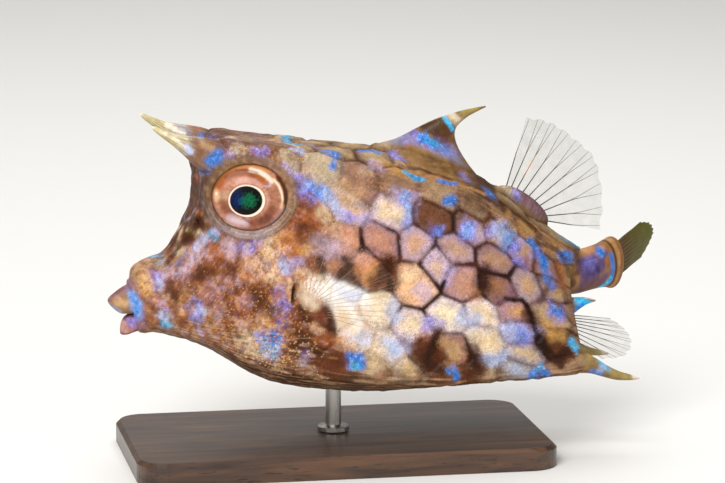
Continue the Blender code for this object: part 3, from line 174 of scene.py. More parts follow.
# Marks of the skin, laid on in this order like dabs of a brush, the later ones over the earlier.
# Each row holds a colour, its strength, its reach in millimetres, and the points x,z that it runs
# through on the left flank, in fish millimetres seen from the side. Both flanks get them.
MARKS = """
# back and upper flank
azure .85 .95  -7.9,17.3
azure .9 1.2  -8.5,19.5 -7.1,19.0
azure .95 1.1  -1.1,18.9 1.9,18.5
lavender .55 1.5  0.5,17.1 1.2,16.8
violet .8 1.3  5.3,18.1 6.2,17.4
gold .5 1.0  1.5,17.4 4.2,16.6 4.8,15.8
gold .45 .9  4.2,15.9 7.2,14.7
cyan .85 .55  6.5,15.4 8.3,14.4 10.2,13.8
azure .5 .4  7.4,14.9 9.4,14.0
rust .45 .6  10.4,14.5 13.7,13.6 16.1,12.7
azure .85 .5  13.3,13.4 15.7,12.8 17.2,12.6
cream .25 1.0  -2.1,16.0 -0.5,15.5
lavender .7 1.5  4.6,10.9 5.8,10.3 8.0,10.2
azure .95 1.25  15.0,9.5 16.2,9.4
azure .9 1.4  24.3,10.6 24.4,10.0
violet .6 1.2  19.3,13.6 19.8,12.9
violet .8 2.2  -13.6,12.9 -12.2,11.8
sky .85 1.7  -13.0,12.6 -9.8,11.6
azure .5 1.0  -12.2,12.0 -10.4,11.4
violet .75 1.4  -13.8,11.6 -12.3,10.6
powder .8 1.4  -8.9,11.2 -7.7,9.4 -6.4,7.8
lavender .8 1.1  -6.4,7.8 -4.4,6.8 -1.6,6.6
violet .5 1.2  -4.8,6.8
violet .8 .9  -17.3,18.0 -16.2,16.6 -14.9,14.8
cream .55 1.5  -10.7,7.6 -9.6,6.8
umber .75 2.0  -13.7,9.6 -12.8,8.2
rust .7 2.2  -14.2,6.5 -12.4,6.5
rust .8 2.0  -16.4,5.0 -15.7,3.1
umber .7 1.5  -13.1,4.5 -10.4,4.3 -8.7,4.6
rust .6 1.4  -14.9,3.8
lilac .6 2.6  -10.3,2.4 -8.5,1.7
sky .65 1.4  6.4,10.6 6.9,8.6 6.6,5.4
violet .45 1.0  6.6,6.0
cream .45 2.2  2.6,8.6
azure .95 1.2  12.5,3.6
violet .55 1.5  12.3,3.9
violet .85 1.9  19.1,4.2 18.9,3.1
sky .7 1.4  19.0,4.2 18.9,3.2
lilac .6 1.6  21.8,2.9
violet .8 1.3  23.9,3.2 26.1,4.4
powder .8 1.9  25.9,3.6 27.1,2.0
azure .6 1.7  27.1,1.2 27.9,0.4
violet .7 1.1  28.9,0.1 28.5,-1.2
violet .9 1.0  29.3,-3.1 30.6,-4.2
azure .95 .85  32.1,0.6 33.0,-0.5 34.0,-1.7 34.8,-3.0
violet .4 1.0  33.9,-1.8 35.0,-3.8
azure 1 1.0  34.9,-3.6 35.2,-5.4
azure 1 1.2  35.7,-7.2 36.8,-8.4
mauve .35 1.3  36.3,-6.0 36.6,-9.0
rust .5 1.2  31.3,-3.4 32.3,-4.1
azure 1 1.2  39.3,-2.8 40.7,-3.7
cyan .9 1.0  39.8,-0.0 41.6,-1.0 43.5,-2.0
# dark joints and masses
black .95 1.5  2.5,-1.8 2.2,-3.8
black .95 1.6  2.4,-4.0 2.6,-6.0
black .9 1.0  2.1,-6.3 0.1,-6.6 -2.0,-6.5
umber .7 1.4  3.5,-2.3 3.8,-5.9
umber .7 1.6  1.0,-4.8 1.8,-3.8
black .85 .9  -2.7,2.0 -2.3,0.8
black .9 1.3  -5.2,-2.2 -5.8,-3.5
umber .85 1.6  -6.3,-4.5 -4.7,-5.3
umber .75 1.7  -11.8,-1.9 -11.4,-3.4
umber .55 1.3  -9.9,-4.3 -8.1,-4.8
umber .6 .6  2.7,-7.3 3.7,-8.8
umber .6 .5  2.9,-14.5 3.3,-13.6
black .9 .6  4.1,2.2 4.9,0.4 4.9,-1.2
black .85 .6  2.6,4.2 4.4,3.3 5.6,3.1
umber .8 .6  5.6,3.1 7.2,4.0 8.2,5.0
umber .85 1.0  9.2,9.0 8.9,6.7
umber .8 .6  4.9,-1.6 7.1,-2.1 8.7,-2.6
black .9 1.1  16.1,8.6 16.5,6.7 16.2,4.2
umber .85 .7  9.4,9.0 11.9,8.7 14.5,8.6
umber .8 .8  22.9,5.8 24.0,5.2
umber .6 .7  25.6,6.6 26.6,6.2
black .8 .7  32.1,3.0 33.2,1.9
umber .7 .6  26.7,7.8 27.9,6.4
black .85 .7  12.5,2.0 12.4,0.1
black .95 1.2  20.2,-1.9 20.8,-3.7
umber .85 .6  16.3,-3.5 18.5,-3.4 20.6,-3.3
black .95 1.8  22.1,-4.9 21.9,-7.6
black .95 1.3  21.9,-8.7 21.3,-9.6
black .9 .9  22.7,-5.8 25.2,-6.2 27.7,-5.9
black .8 .9  28.2,-5.2 29.1,-4.7
umber .8 .8  32.7,-4.1 33.4,-5.3
umber .8 .6  14.3,-9.5 16.3,-10.1 18.2,-10.7
black .95 1.8  34.0,-19.6 35.4,-21.0 37.0,-22.2
umber .8 1.4  31.6,-13.5 31.9,-14.7
umber .9 2.0  37.1,-19.8 39.3,-21.3
black .85 1.7  39.2,-21.7 37.5,-22.6
black .9 1.1  19.0,-18.9 19.3,-20.4 19.6,-21.9
umber .9 1.9  19.5,-22.2 20.4,-23.9 18.8,-24.6
black .9 1.4  12.2,-16.2 11.7,-18.5 10.7,-19.7
black .85 2.0  12.8,-21.1 11.0,-21.7 13.0,-23.0
umber .9 2.2  9.6,-18.9 12.1,-19.4
rust .6 1.4  8.3,-17.7 10.3,-16.7
umber .8 1.2  -9.4,-10.8 -8.6,-12.5 -8.6,-14.5
umber .75 1.6  -13.4,-12.2 -12.2,-11.4
umber .9 2.2  -9.8,-18.1 -6.5,-19.8
umber .85 2.5  -11.8,-18.9 -8.6,-21.3
rust .6 1.9  -12.1,-16.5 -9.4,-16.6
umber .7 .8  39.2,-5.7 39.4,-6.8
umber .9 .9  39.7,-10.1 39.9,-11.3
umber .7 .8  40.7,-7.1 40.6,-8.0
rust .5 1.6  38.6,-5.3 39.1,-9.3
# pale and coloured plates
powder .75 1.8  3.6,-18.3 5.4,-18.2
cream .5 1.6  -1.0,-18.6 1.0,-19.2
mauve .5 1.2  5.0,-17.5 6.3,-18.4
powder .65 2.3  -5.0,-15.4 -3.5,-16.4
peach .5 1.5  -7.0,-17.1 -5.0,-18.3
powder .7 1.6  3.3,-10.5 3.9,-12.7
lilac .75 1.8  9.2,-7.4 10.4,-8.5
violet .6 1.3  10.1,-13.9 10.4,-15.1
violet .5 .9  11.5,-13.6 12.9,-14.4
powder .7 1.9  17.4,-13.7 20.0,-13.6
powder .85 1.3  21.8,-21.6 23.8,-22.1 25.6,-21.6
violet .45 1.9  29.7,-17.5 30.8,-18.3
azure .45 1.2  29.4,-17.1 29.9,-18.1
powder .6 1.9  27.0,-16.7
violet .7 1.8  36.9,-13.2 38.2,-14.7
azure .8 1.1  37.1,-13.2 38.0,-14.1
gold .55 1.4  35.1,-16.2 36.5,-17.1 38.3,-17.4
gold .5 1.2  36.2,-18.6 38.1,-19.0
cyan .85 .95  40.4,-19.9 41.1,-20.8
mauve .6 1.3  27.3,-8.3 28.4,-9.2
mauve .5 1.2  25.3,-10.3 27.1,-9.8
orange .35 1.4  18.8,-8.3 20.3,-8.8
lavender .6 1.3  15.3,-3.6 14.3,-6.0
# lower ridge
azure .95 1.3  -5.3,-20.2 -4.0,-20.4 -3.4,-21.2
cyan .8 .9  -5.2,-21.4 -4.4,-21.9
violet .5 .6  -6.2,-21.2 -5.8,-21.9
azure .9 .75  14.4,-23.8 15.2,-23.3 15.9,-24.4
azure .9 .6  15.7,-25.2 16.3,-24.9
azure .9 1.1  32.0,-25.4 33.6,-24.7 34.5,-25.1
cyan .6 .6  33.0,-24.3 34.0,-24.0
ivory .6 .25  34.4,-24.6
ivory .6 .25  33.2,-24.0
powder .6 1.2  27.5,-24.3 29.7,-24.7
umber .6 1.2  27.6,-26.4 29.6,-26.1
# brow and orbit front
azure .95 2.0  -31.6,18.6 -30.5,19.6
azure .9 1.3  -33.1,17.1 -32.2,17.9
violet .8 1.6  -31.3,18.5 -32.1,19.4
azure .8 1.1  -29.5,21.2 -29.7,20.5
violet .7 1.0  -28.4,20.1 -27.5,19.9
mauve .7 1.2  -30.6,18.1 -29.6,18.7
umber .6 1.2  -28.4,21.7 -26.8,21.9
cream .6 1.2  -26.8,20.7 -25.8,20.4
ivory .7 1.5  -25.9,21.5
mauve .75 2.0  -23.0,21.2 -20.1,21.1
olive .7 1.5  -23.0,21.2 -20.5,21.0
brown .7 1.5  -19.2,20.4 -16.5,20.3
violet .8 1.1  -22.7,20.0 -21.6,19.9
tan .6 1.1  -17.8,20.8 -16.6,20.7
cyan .95 1.1  -15.7,20.6 -14.5,20.5
powder .7 1.1  -15.5,20.4 -14.4,20.1
slate .8 .6  -13.0,20.4 -11.4,20.2 -9.9,19.9
umber .8 .5  -16.7,20.8 -13.7,20.4 -11.2,20.0
peach .7 .6  -17.4,20.8 -14.6,20.5
umber .85 .8  -8.1,19.8 -5.7,19.6 -3.0,19.1 -2.7,18.3 -1.9,17.4
umber .7 .5  2.8,16.1 5.3,16.0
umber .7 .5  -4.8,19.6 -1.9,19.2 1.4,18.9
rust .8 1.1  -33.0,14.7 -33.2,13.2
umber .8 .9  -33.2,12.5 -33.4,11.1
rust .7 .8  -33.9,9.4 -34.1,7.7
slate .6 .4  -33.5,14.6 -33.3,12.2 -33.0,9.9
slate .6 .5  -34.4,8.1 -35.1,6.6 -36.0,5.1
umber .95 1.0  -33.6,6.7 -34.0,5.6
umber .9 .7  -34.5,4.6 -34.3,5.2
tan .7 .6  -33.2,7.8 -32.5,7.0
cream .85 .9  -36.6,3.9 -37.1,2.8
olive .8 .8  -35.5,4.6 -35.4,3.3
cream .8 1.0  -34.6,4.0 -34.0,3.5
umber .85 1.5  -38.5,0.8 -37.9,1.8
umber .85 1.3  -36.7,2.4 -35.6,2.6
brown .8 1.4  -36.9,1.3 -36.6,0.6
cream .8 1.2  -37.5,1.0 -38.0,0.0
brown .8 1.0  -39.4,-1.2 -39.4,-2.3
powder .85 1.1  -33.2,3.0 -32.2,3.7 -31.0,4.5
cyan .7 .9  -31.9,4.0 -31.3,4.1
lavender .8 1.0  -30.6,5.0 -29.8,5.5
# snout
peach .5 2.2  -45.6,-3.3 -43.5,-2.2
tan .7 2.6  -45.3,-4.7 -43.4,-5.8
gold .5 2.2  -44.8,-6.4 -44.0,-7.7
cyan .8 .8  -42.5,-1.7 -40.6,-1.2
olive .45 1.6  -42.1,-1.9 -40.9,-2.1
powder .5 1.1  -41.2,-2.0
mauve .75 1.1  -43.1,-3.7 -42.7,-4.5
violet .85 1.4  -41.7,-4.8 -41.6,-5.9
lavender .7 1.3  -42.0,-6.8 -40.8,-6.1
lilac .75 1.9  -39.5,-3.6 -37.7,-3.7
azure .6 .9  -37.4,-1.8
lilac .8 2.0  -35.8,-0.9 -34.5,0.6
lilac .7 1.8  -33.4,0.9 -32.4,-0.3
gold .5 .7  -33.5,-1.8
rust .6 2.0  -31.8,1.6 -30.7,0.3
brown .75 2.4  -35.0,-4.9 -33.7,-3.8
brown .75 2.2  -32.0,-6.4 -31.1,-7.6
umber .85 1.3  -39.6,-7.4 -38.7,-8.3
rust .5 1.5  -40.1,-6.2 -38.2,-6.4
mauve .6 1.2  -42.0,-8.6 -41.7,-10.2
peach .6 .8  -41.0,-9.0 -40.3,-8.6
rust .45 2.3  -43.8,-10.2 -44.2,-12.3
brown .6 2.3  -43.5,-13.4 -42.1,-12.5
lavender .8 1.1  -41.0,-10.8 -40.3,-11.4
powder .85 1.3  -41.1,-12.5 -40.4,-12.9
cyan .9 .9  -40.9,-14.0 -39.9,-14.2
violet .8 1.0  -34.7,-9.6 -34.5,-11.0
lavender .8 1.5  -35.5,-10.6 -33.5,-10.5
azure .75 .9  -35.6,-12.5 -34.6,-13.4
violet .7 .9  -34.7,-11.8 -33.8,-12.6
lavender .7 .6  -34.3,-14.7 -33.7,-15.7
brown .6 2.0  -36.8,-13.6 -38.3,-11.2
gold .5 .6  -37.3,-7.5 -37.9,-9.7 -37.5,-11.9
sand .5 1.6  -33.0,-11.9 -31.9,-13.3
mauve .8 1.3  -45.2,-13.9 -45.2,-13.8
# cheek
rust .7 2.0  -31.0,-0.5 -31.1,-2.4
brown .7 1.9  -31.9,-2.9 -30.7,-4.0
lilac .7 1.8  -28.8,1.9 -28.0,0.4
maroon .75 .9  -26.6,0.0 -27.1,-1.7 -27.9,-3.7
violet .8 1.5  -25.9,1.8 -24.9,1.2
violet .8 1.2  -24.1,2.0 -23.2,2.6
lavender .7 1.3  -22.3,2.6 -21.7,3.2
ivory .6 .7  -25.3,2.1
peach .7 2.2  -24.7,-1.1 -23.5,-2.3
gold .6 1.9  -21.7,1.8 -20.6,0.8
cream .6 1.8  -19.8,2.6 -20.4,-0.3
cream .7 1.7  -20.6,-3.5 -20.9,-5.1
lilac .6 1.4  -21.5,-1.7 -20.8,-2.3
pink .6 2.0  -24.3,-3.6 -23.2,-4.4
lavender .9 1.6  -18.1,-0.4 -17.9,-2.7
lavender .75 1.2  -16.1,-1.2 -15.2,-0.5
peach .5 1.5  -19.4,-1.2 -19.4,1.2
orange .9 2.0  -17.6,3.5 -16.4,1.9
rust .8 1.8  -15.4,3.4 -14.9,1.9
umber .6 1.6  -14.2,5.8 -14.6,3.8
gold .6 1.2  -14.3,0.9 -13.3,1.6
rust .75 2.2  -24.7,-5.8 -23.6,-6.8
umber .85 2.4  -23.0,-7.8 -22.3,-9.8
brown .8 1.9  -21.3,-8.3 -20.6,-9.8
violet .7 1.4  -19.0,-6.6 -19.0,-8.2
mauve .8 1.5  -19.6,-8.1 -18.7,-9.8
violet .8 1.1  -18.1,-9.6 -17.7,-10.5
lavender .75 1.2  -20.0,-10.7 -19.4,-11.7
violet .75 1.6  -18.9,-12.3 -18.7,-13.5
mauve .75 1.5  -18.1,-11.7 -17.9,-14.4
brown .75 2.0  -30.6,-6.0 -30.0,-7.3
lilac .55 1.7  -31.5,-5.7 -28.9,-5.3
lilac .6 1.5  -28.1,-6.1 -27.2,-5.4
maroon .8 1.9  -26.6,-7.8 -27.4,-9.0
lilac .7 1.3  -25.6,-8.2 -24.5,-8.8
maroon .85 2.0  -28.2,-11.0 -27.0,-12.0
maroon .75 1.7  -25.4,-11.7 -24.3,-12.4
lilac .5 1.5  -30.0,-10.8 -30.6,-11.6
brown .6 1.8  -32.4,-8.8 -31.1,-9.6
pink .7 1.6  -26.7,-13.6 -25.4,-14.2
umber .7 1.4  -22.9,-11.5 -21.4,-11.2
gold .5 1.9  -23.3,-13.9 -21.8,-13.7
putty .85 2.2  -26.1,-16.0 -24.7,-17.2
putty .7 1.5  -23.7,-18.5 -22.4,-19.3
violet .85 1.4  -22.8,-16.3 -22.0,-15.9
azure .95 1.8  -21.5,-16.8 -20.1,-16.6
azure .8 1.4  -20.7,-15.7 -19.3,-16.4
cyan .8 1.4  -21.6,-18.2 -20.5,-18.9
slate .5 1.3  -21.4,-19.9
umber .85 2.6  -15.7,-17.0 -13.6,-17.7
umber .85 2.3  -12.9,-16.1 -11.0,-17.7
umber .8 2.4  -14.7,-18.8 -11.8,-20.0
rust .6 1.8  -16.8,-15.3 -15.3,-14.5
maroon .7 1.6  -16.0,-12.1 -14.6,-12.9
violet .7 .9  -14.6,-19.4 -13.7,-18.9
slate .6 1.3  -14.8,-21.0
umber .9 .7  -16.4,-5.2 -16.4,-7.2 -16.3,-8.4
peach .7 1.0  -15.0,-3.7 -15.2,-4.9
peach .8 .5  -17.0,-4.8 -17.2,-6.9 -16.9,-8.6
putty .9 1.3  -14.7,-7.5 -13.8,-8.7
peach .6 1.1  -12.4,-14.2 -11.6,-14.8
brown .7 1.6  -14.8,-10.8 -13.2,-10.4
# white field behind the pectoral base and the dark patches round it
milk .9 2.1  -11.5,-5.9 -8.7,-7.1 -6.2,-8.9
milk .9 1.7  -8.1,-6.0 -5.1,-7.4 -2.8,-8.8
powder .4 1.5  -5.6,-8.4 -4.0,-7.8
milk .8 1.9  -8.7,-9.2 -6.5,-11.3 -4.9,-13.8
cream .5 1.4  -12.1,-3.9 -10.9,-4.5
cream .5 1.2  -6.1,-12.5 -4.2,-14.8
sepia .85 1.1  -14.8,-10.0 -14.0,-11.8
sepia .9 .95  -10.3,-10.7 -9.3,-12.3 -8.9,-14.3
maroon .5 1.2  -11.8,-11.0 -11.1,-12.3
ink .9 1.15  -11.4,-1.2 -11.0,-2.9
rust .5 1.2  -12.6,-1.3 -12.2,-2.4
sepia .9 1.3  -7.0,-4.4 -5.8,-3.3 -5.2,-1.9
black .85 .9  -2.7,2.2 -2.3,0.8
black .9 1.4  2.4,-2.5 2.4,-4.8
black .8 .8  1.9,-6.6 -0.3,-6.7 -2.1,-6.2
sepia .8 1.0  -5.1,-4.9 -3.6,-5.9
rust .6 1.3  -16.8,6.6 -15.4,4.6 -14.3,3.5
rust .65 1.6  -13.8,7.8 -12.4,6.1 -10.4,5.1
orange .5 1.0  -16.6,3.9 -16.1,2.7
umber .5 1.2  -14.2,5.8 -13.2,4.5
brown .5 1.4  -9.9,4.0 -8.0,4.2
lilac .5 1.6  -10.9,2.3 -8.5,1.5
# cheek, finer patches
umber .55 1.6  -34.8,-4.5 -33.3,-3.1
umber .5 1.3  -33.2,-5.2 -32.0,-6.4
umber .55 1.4  -39.7,-6.4 -38.6,-7.8
umber .5 1.2  -30.0,-8.0 -29.1,-9.5
umber .6 1.5  -23.6,-7.8 -22.5,-9.3
umber .5 1.0  -28.1,-2.6 -27.4,-1.2
rust .5 1.6  -28.9,-5.3 -25.5,-8.6
rust .5 1.6  -31.6,-2.5 -29.9,-1.2
orange .4 1.2  -26.0,-3.7 -25.3,-4.9
lilac .55 1.4  -33.0,-7.3 -31.5,-8.0
lilac .5 1.4  -26.7,-9.0 -25.4,-9.8
peach .55 1.6  -22.4,-1.1 -20.8,-2.3
peach .5 1.2  -23.2,-3.1 -22.2,-3.9
powder .7 1.0  -18.5,-1.2 -18.1,-2.9
powder .6 .8  -41.7,-5.5 -41.2,-6.5
powder .75 .9  -34.9,-10.2 -33.8,-11.4
azure .5 .6  -34.4,-10.6 -33.9,-11.8
violet .5 .8  -35.2,-9.0 -34.3,-9.6
putty .4 1.1  -25.6,-16.2 -24.4,-17.7
ivory .35 .5  -25.9,-14.9 -24.5,-17.5
sepia .7 .9  -34.0,6.6 -34.6,5.0
sepia .65 .8  -35.8,3.4 -36.6,2.2
sepia .6 .9  -37.2,1.8 -38.3,0.0
sepia .45 1.2  -33.4,13.6 -33.6,9.4
umber .65 1.1  -34.2,6.2 -35.1,4.1
umber .6 .9  -35.6,4.0 -36.3,2.8
cream .5 .5  -36.1,4.3
cream .5 .5  -37.2,2.2
cream .45 .6  -34.1,4.5
cyan .6 .6  -31.9,3.7 -31.2,3.4
powder .6 .8  -33.3,2.6 -34.4,1.5
# dark brown corner low behind the cheek
umber .8 1.4  -11.0,-18.9 -8.5,-20.1 -7.3,-20.9
sepia .6 1.2  -15.2,-15.5 -14.1,-16.9
rust .6 1.0  -12.1,-16.5 -10.5,-17.5
orange .5 .7  -8.6,-17.0 -7.2,-16.6
gold .5 .22  -13.9,-18.4 -12.4,-19.6
gold .5 .2  -12.6,-17.6 -11.0,-18.6 -9.8,-19.0
gold .45 .2  -11.4,-16.6 -9.8,-17.4
gold .45 .22  -10.0,-20.0 -8.2,-20.4
gold .5 .2  -15.6,-19.0 -14.2,-20.0
gold .4 .2  -9.0,-18.2 -7.4,-18.8
rust .4 1.0  -10.4,-16.2 -9.0,-17.4
# darker patches of the face
sepia .5 1.4  -34.0,-4.0 -31.8,-2.5
sepia .45 1.2  -29.9,-1.2 -28.5,-3.7
sepia .55 1.5  -23.3,-8.5 -21.3,-6.6
sepia .45 1.2  -27.6,-6.7 -25.4,-5.6
sepia .5 1.0  -40.1,-7.2 -38.6,-9.1
sepia .45 1.2  -36.7,-7.1 -35.0,-9.0
sepia .6 1.0  -39.8,-2.0 -38.5,-0.1
sepia .6 1.0  -37.4,1.4 -35.5,2.9
sepia .7 1.0  -34.1,5.6 -32.7,7.6
sepia .5 .9  -36.4,-1.7 -38.1,-2.9
sepia .4 1.3  -14.8,5.4 -12.8,6.4
sepia .45 1.4  -18.2,-13.5 -15.2,-14.9
sepia .6 1.8  -16.1,-17.4 -11.8,-18.9
sepia .5 1.2  -20.9,-10.5 -19.8,-12.1
# dark lines and golden plates behind the thorn
sepia .85 .7  26.2,8.6 28.3,7.3 30.8,5.1 33.4,2.8
sepia .7 .8  23.6,9.8 26.1,7.9 27.3,5.9
sepia .5 1.3  19.7,9.9 22.6,8.1
gold .45 1.3  29.8,3.8 31.6,2.2
gold .45 1.0  38.1,1.6 41.5,-0.7
sepia .6 .6  34.4,-0.2 38.0,-1.7 40.3,-4.3 40.8,-7.0
gold .4 .8  25.9,4.8 27.7,6.3
sepia .6 .7  35.3,-9.3 34.3,-11.2
sepia .5 1.5  31.4,-13.0 32.9,-17.0 35.2,-21.2
ink .9 .5  28.5,-10.8 30.2,-11.1 31.4,-12.4
ink .85 .7  31.4,-12.4 32.3,-14.6 32.8,-16.8
ink .85 1.0  33.2,-18.1 34.8,-21.0 36.0,-22.4
sepia .8 .7  36.0,-22.4 37.8,-24.4
sepia .5 .9  39.3,-9.7 40.3,-11.8
# last touches, plate by plate and over the face
ink .8 .8  1.8,-3.0 2.6,-5.0 2.9,-6.6
cream .5 1.6  6.2,-4.7 7.5,-4.0
cream .6 .8  -0.4,-8.4 1.4,-8.4
cream .55 1.1  -7.2,-10.5 -6.6,-13.5
black .9 .6  9.6,-3.0 11.4,-5.2 13.0,-7.2
black 1 1.1  13.0,-7.2 12.9,-8.2
black .95 .8  12.9,-8.2 11.6,-9.9 9.9,-11.5
black .9 .8  5.2,-10.5 7.6,-11.1 9.9,-11.6
brown .5 1.2  0.2,-24.0 1.6,-23.6
sepia .6 1.3  8.4,-24.0 10.2,-24.4
sepia .75 1.9  8.9,-19.2 10.4,-22.2
ink .7 1.1  11.6,-17.2 10.9,-19.6 9.8,-21.6
tan .6 1.7  14.4,-18.4 15.6,-20.0
sand .45 1.4  15.4,-21.2 15.0,-22.2
sepia .8 1.7  19.6,-19.8 20.4,-21.8 20.2,-23.6
ink .6 .9  19.2,-20.6 19.6,-22.8
sepia .45 1.2  -14.8,3.4 -12.4,2.6 -10.6,2.4
black .8 .8  -2.6,3.6 -2.5,0.6
sky .4 1.3  26.6,3.2 28.4,1.6
pink .5 1.3  -3.6,-0.8 -2.0,-1.2
umber .5 1.5  -0.2,-5.2 1.0,-3.2
gold .4 1.2  -1.4,-4.6 0.2,-4.0
cream .45 1.4  -10.5,8.2 -9.1,6.2
peach .45 1.7  -8.8,5.8 -7.4,4.4
putty .8 1.5  -17.2,19.4 -15.6,17.8
sepia .55 1.0  16.6,8.2 17.4,6.6
tan .55 1.8  -6.4,13.0 -4.0,11.6
mauve .3 1.5  33.2,-10.6
ink .8 .5  26.6,-10.2 28.5,-10.6
brown .75 1.2  -28.7,-9.0 -28.0,-10.0
brown .75 1.3  -28.9,-13.6 -27.8,-14.2
peach .45 1.4  -22.6,-11.8 -21.8,-13.4
powder .4 1.2  -22.2,-18.0 -21.4,-19.2
rust .55 1.7  -32.8,-6.8 -31.8,-8.2
umber .75 1.1  -29.6,21.6 -27.6,21.8
brown .5 1.6  -31.0,-3.4 -28.6,-4.6
rust .45 1.5  -26.8,-9.6 -24.8,-11.0
brown .5 1.4  -22.4,-5.4 -21.2,-6.6
umber .45 1.4  -24.0,-9.4 -22.0,-10.4
lilac .4 1.3  -36.6,-3.6 -35.6,-2.2
peach .4 1.3  -19.8,-3.4 -18.8,-4.8
sky .5 1.4  -21.8,-17.0 -20.6,-17.8
powder .5 .8  -22.6,-16.6 -21.8,-18.6
umber .7 1.4  -0.4,-5.8 1.2,-4.6
sepia .75 1.1  0.6,-5.6 1.8,-3.4
powder .3 1.4  -7.4,-6.4 -4.6,-7.8
peach .35 1.3  -6.6,-13.0 -5.6,-15.0
umber .5 1.6  -10.4,-20.4 -8.4,-21.8"""


def linear(code):
    """sRGB hex to linear red, green and blue."""
    value = np.array([int(code[i:i + 2], 16) for i in (0, 2, 4)]) / 255
    return np.where(value <= 0.04045, value / 12.92, ((value + 0.055) / 1.055)**2.4)


def place(points):
    """Fish millimetres to the frame's metres."""
    return (np.asarray(points, float) + (SHIFT_X, 0, FLOOR)) / 1000


def smooth(low, high, value):
    """0 at low, 1 at high, with an easy curve between. Low may be the greater of the two."""
    s = np.clip((value - low) / (high - low), 0, 1)
    return s * s * (3 - 2 * s)


def ripple(points, length, seed, waves=20):
    """Smooth irregular values about 0, with bumps about one length across, for points in 2-D or 3-D."""
    maker = np.random.default_rng(seed)
    points = np.atleast_2d(points)
    total = np.zeros(len(points))
    for _ in range(waves):
        way = maker.normal(size=points.shape[1])
        way *= 2 * math.pi / length * maker.uniform(0.35, 0.75) / np.linalg.norm(way)
        total += np.sin(points @ way + maker.uniform(0, 2 * math.pi))
    return total * math.sqrt(2 / waves)


T = np.array([row[0] for row in STATIONS])
CORNERS = np.array([row[1] for row in STATIONS], float)


def corners_at(t):
    """The seven section corners at each station value, by a smooth curve through the rows."""
    t = np.clip(t, T[0], T[-1])
    k = np.clip(np.searchsorted(T, t, side="right") - 1, 0, len(T) - 2)
    step = np.diff(T)[:, None, None]
    rate = np.diff(CORNERS, axis=0) / step
    slope = np.empty_like(CORNERS)
    slope[1:-1] = (rate[:-1] * step[1:] + rate[1:] * step[:-1]) / (step[1:] + step[:-1])
    slope[0], slope[-1] = rate[0], rate[-1]
    h = (T[k + 1] - T[k])[:, None, None]
    s = ((t - T[k]) / h[:, 0, 0])[:, None, None]
    return ((2 * s**3 - 3 * s**2 + 1) * CORNERS[k] + (s**3 - 2 * s**2 + s) * h * slope[k]
            + (3 * s**2 - 2 * s**3) * CORNERS[k + 1] + (s**3 - s**2) * h * slope[k + 1])


def body_point(t, w):
    """Points of the body's smooth surface. w runs round from the crown, minus on the left."""
    t, w = np.broadcast_arrays(np.asarray(t, float), np.asarray(w, float))
    shape, t, w = t.shape, t.ravel(), w.ravel()
    w = wrap(w)
    v = np.clip(np.interp(np.abs(w), ROUND, np.arange(7.0)), 0, 6 - 1e-9)
    rows = corners_at(t)
    rows = np.concatenate([rows[:, 1:2] * (1, -1, 1), rows, rows[:, 5:6] * (1, -1, 1)], 1)
    i = v.astype(int)
    e = (v - i)[:, None]
    n = np.arange(len(t))
    a, b, c, d = rows[n, i], rows[n, i + 1], rows[n, i + 2], rows[n, i + 3]
    soft_b, soft_c = SOFT[i][:, None], SOFT[i + 1][:, None]
    f = 0.5 + e / soft_b
    near_b = ((1 - f)**2 * (b + (a - b) * soft_b / 2) + 2 * f * (1 - f) * b
              + f**2 * (b + (c - b) * soft_b / 2))
    f = (e - 1 + soft_c / 2) / soft_c
    near_c = ((1 - f)**2 * (c + (b - c) * soft_c / 2) + 2 * f * (1 - f) * c
              + f**2 * (c + (d - c) * soft_c / 2))
    out = np.where(e < soft_b / 2, near_b, np.where(e > 1 - soft_c / 2, near_c, b + (c - b) * e))
    out[:, 1] *= np.where(w < 0, -1.0, 1.0)
    return out.reshape(shape + (3,))


def body_normal(t, w):
    """Outward directions of the smooth surface."""
    t = np.clip(np.asarray(t, float), T[0] + 0.05, T[-1] - 0.05)
    along = body_point(t + 0.05, w) - body_point(t - 0.05, w)
    across = body_point(t, np.asarray(w, float) + 0.25) - body_point(t, np.asarray(w, float) - 0.25)
    out = np.cross(along, across)
    return out / np.linalg.norm(out, axis=-1, keepdims=True)


def nearest_on_flank(x, z, side):
    """Station value and distance round of the flank's point that shows at x, z from the side."""
    t, w = np.meshgrid(np.linspace(2, 86, 337), np.linspace(8.0, 56.0, 193), indexing="ij")
    points = body_point(t, w)
    k = np.argmin((points[..., 0] - x)**2 + (points[..., 2] - z)**2)
    return t.ravel()[k], side * w.ravel()[k]


def wrap(w):
    """A distance round the body, brought within half the girth of the crown."""
    return (w + GIRTH / 2) % GIRTH - GIRTH / 2


def curve_through(rows, count):
    """Rows of numbers carried smoothly from the first to the last."""
    rows = np.asarray(rows, float)
    at = np.linspace(0, len(rows) - 1, count)
    k = np.minimum(at.astype(int), len(rows) - 2)
    s = (at - k)[:, None]
    padded = np.concatenate([2 * rows[:1] - rows[1:2], rows, 2 * rows[-1:] - rows[-2:-1]])
    a, b, c, d = (padded[k + i] for i in range(4))
    bend = (a - 2.5 * b + 2 * c - d / 2) * s**2
    return b + (c - a) * s / 2 + bend + (1.5 * (b - c) + (d - a) / 2) * s**3


def grid_faces(rows, columns, closed=True, start=0):
    """Four-cornered faces over rows of points, each row a ring where closed."""
    j = np.arange(columns if closed else columns - 1)
    k = (j + 1) % columns
    i = np.arange(rows - 1)[:, None] * columns + start
    return np.stack([i + j, i + k, i + columns + k, i + columns + j], -1).reshape(-1, 4)


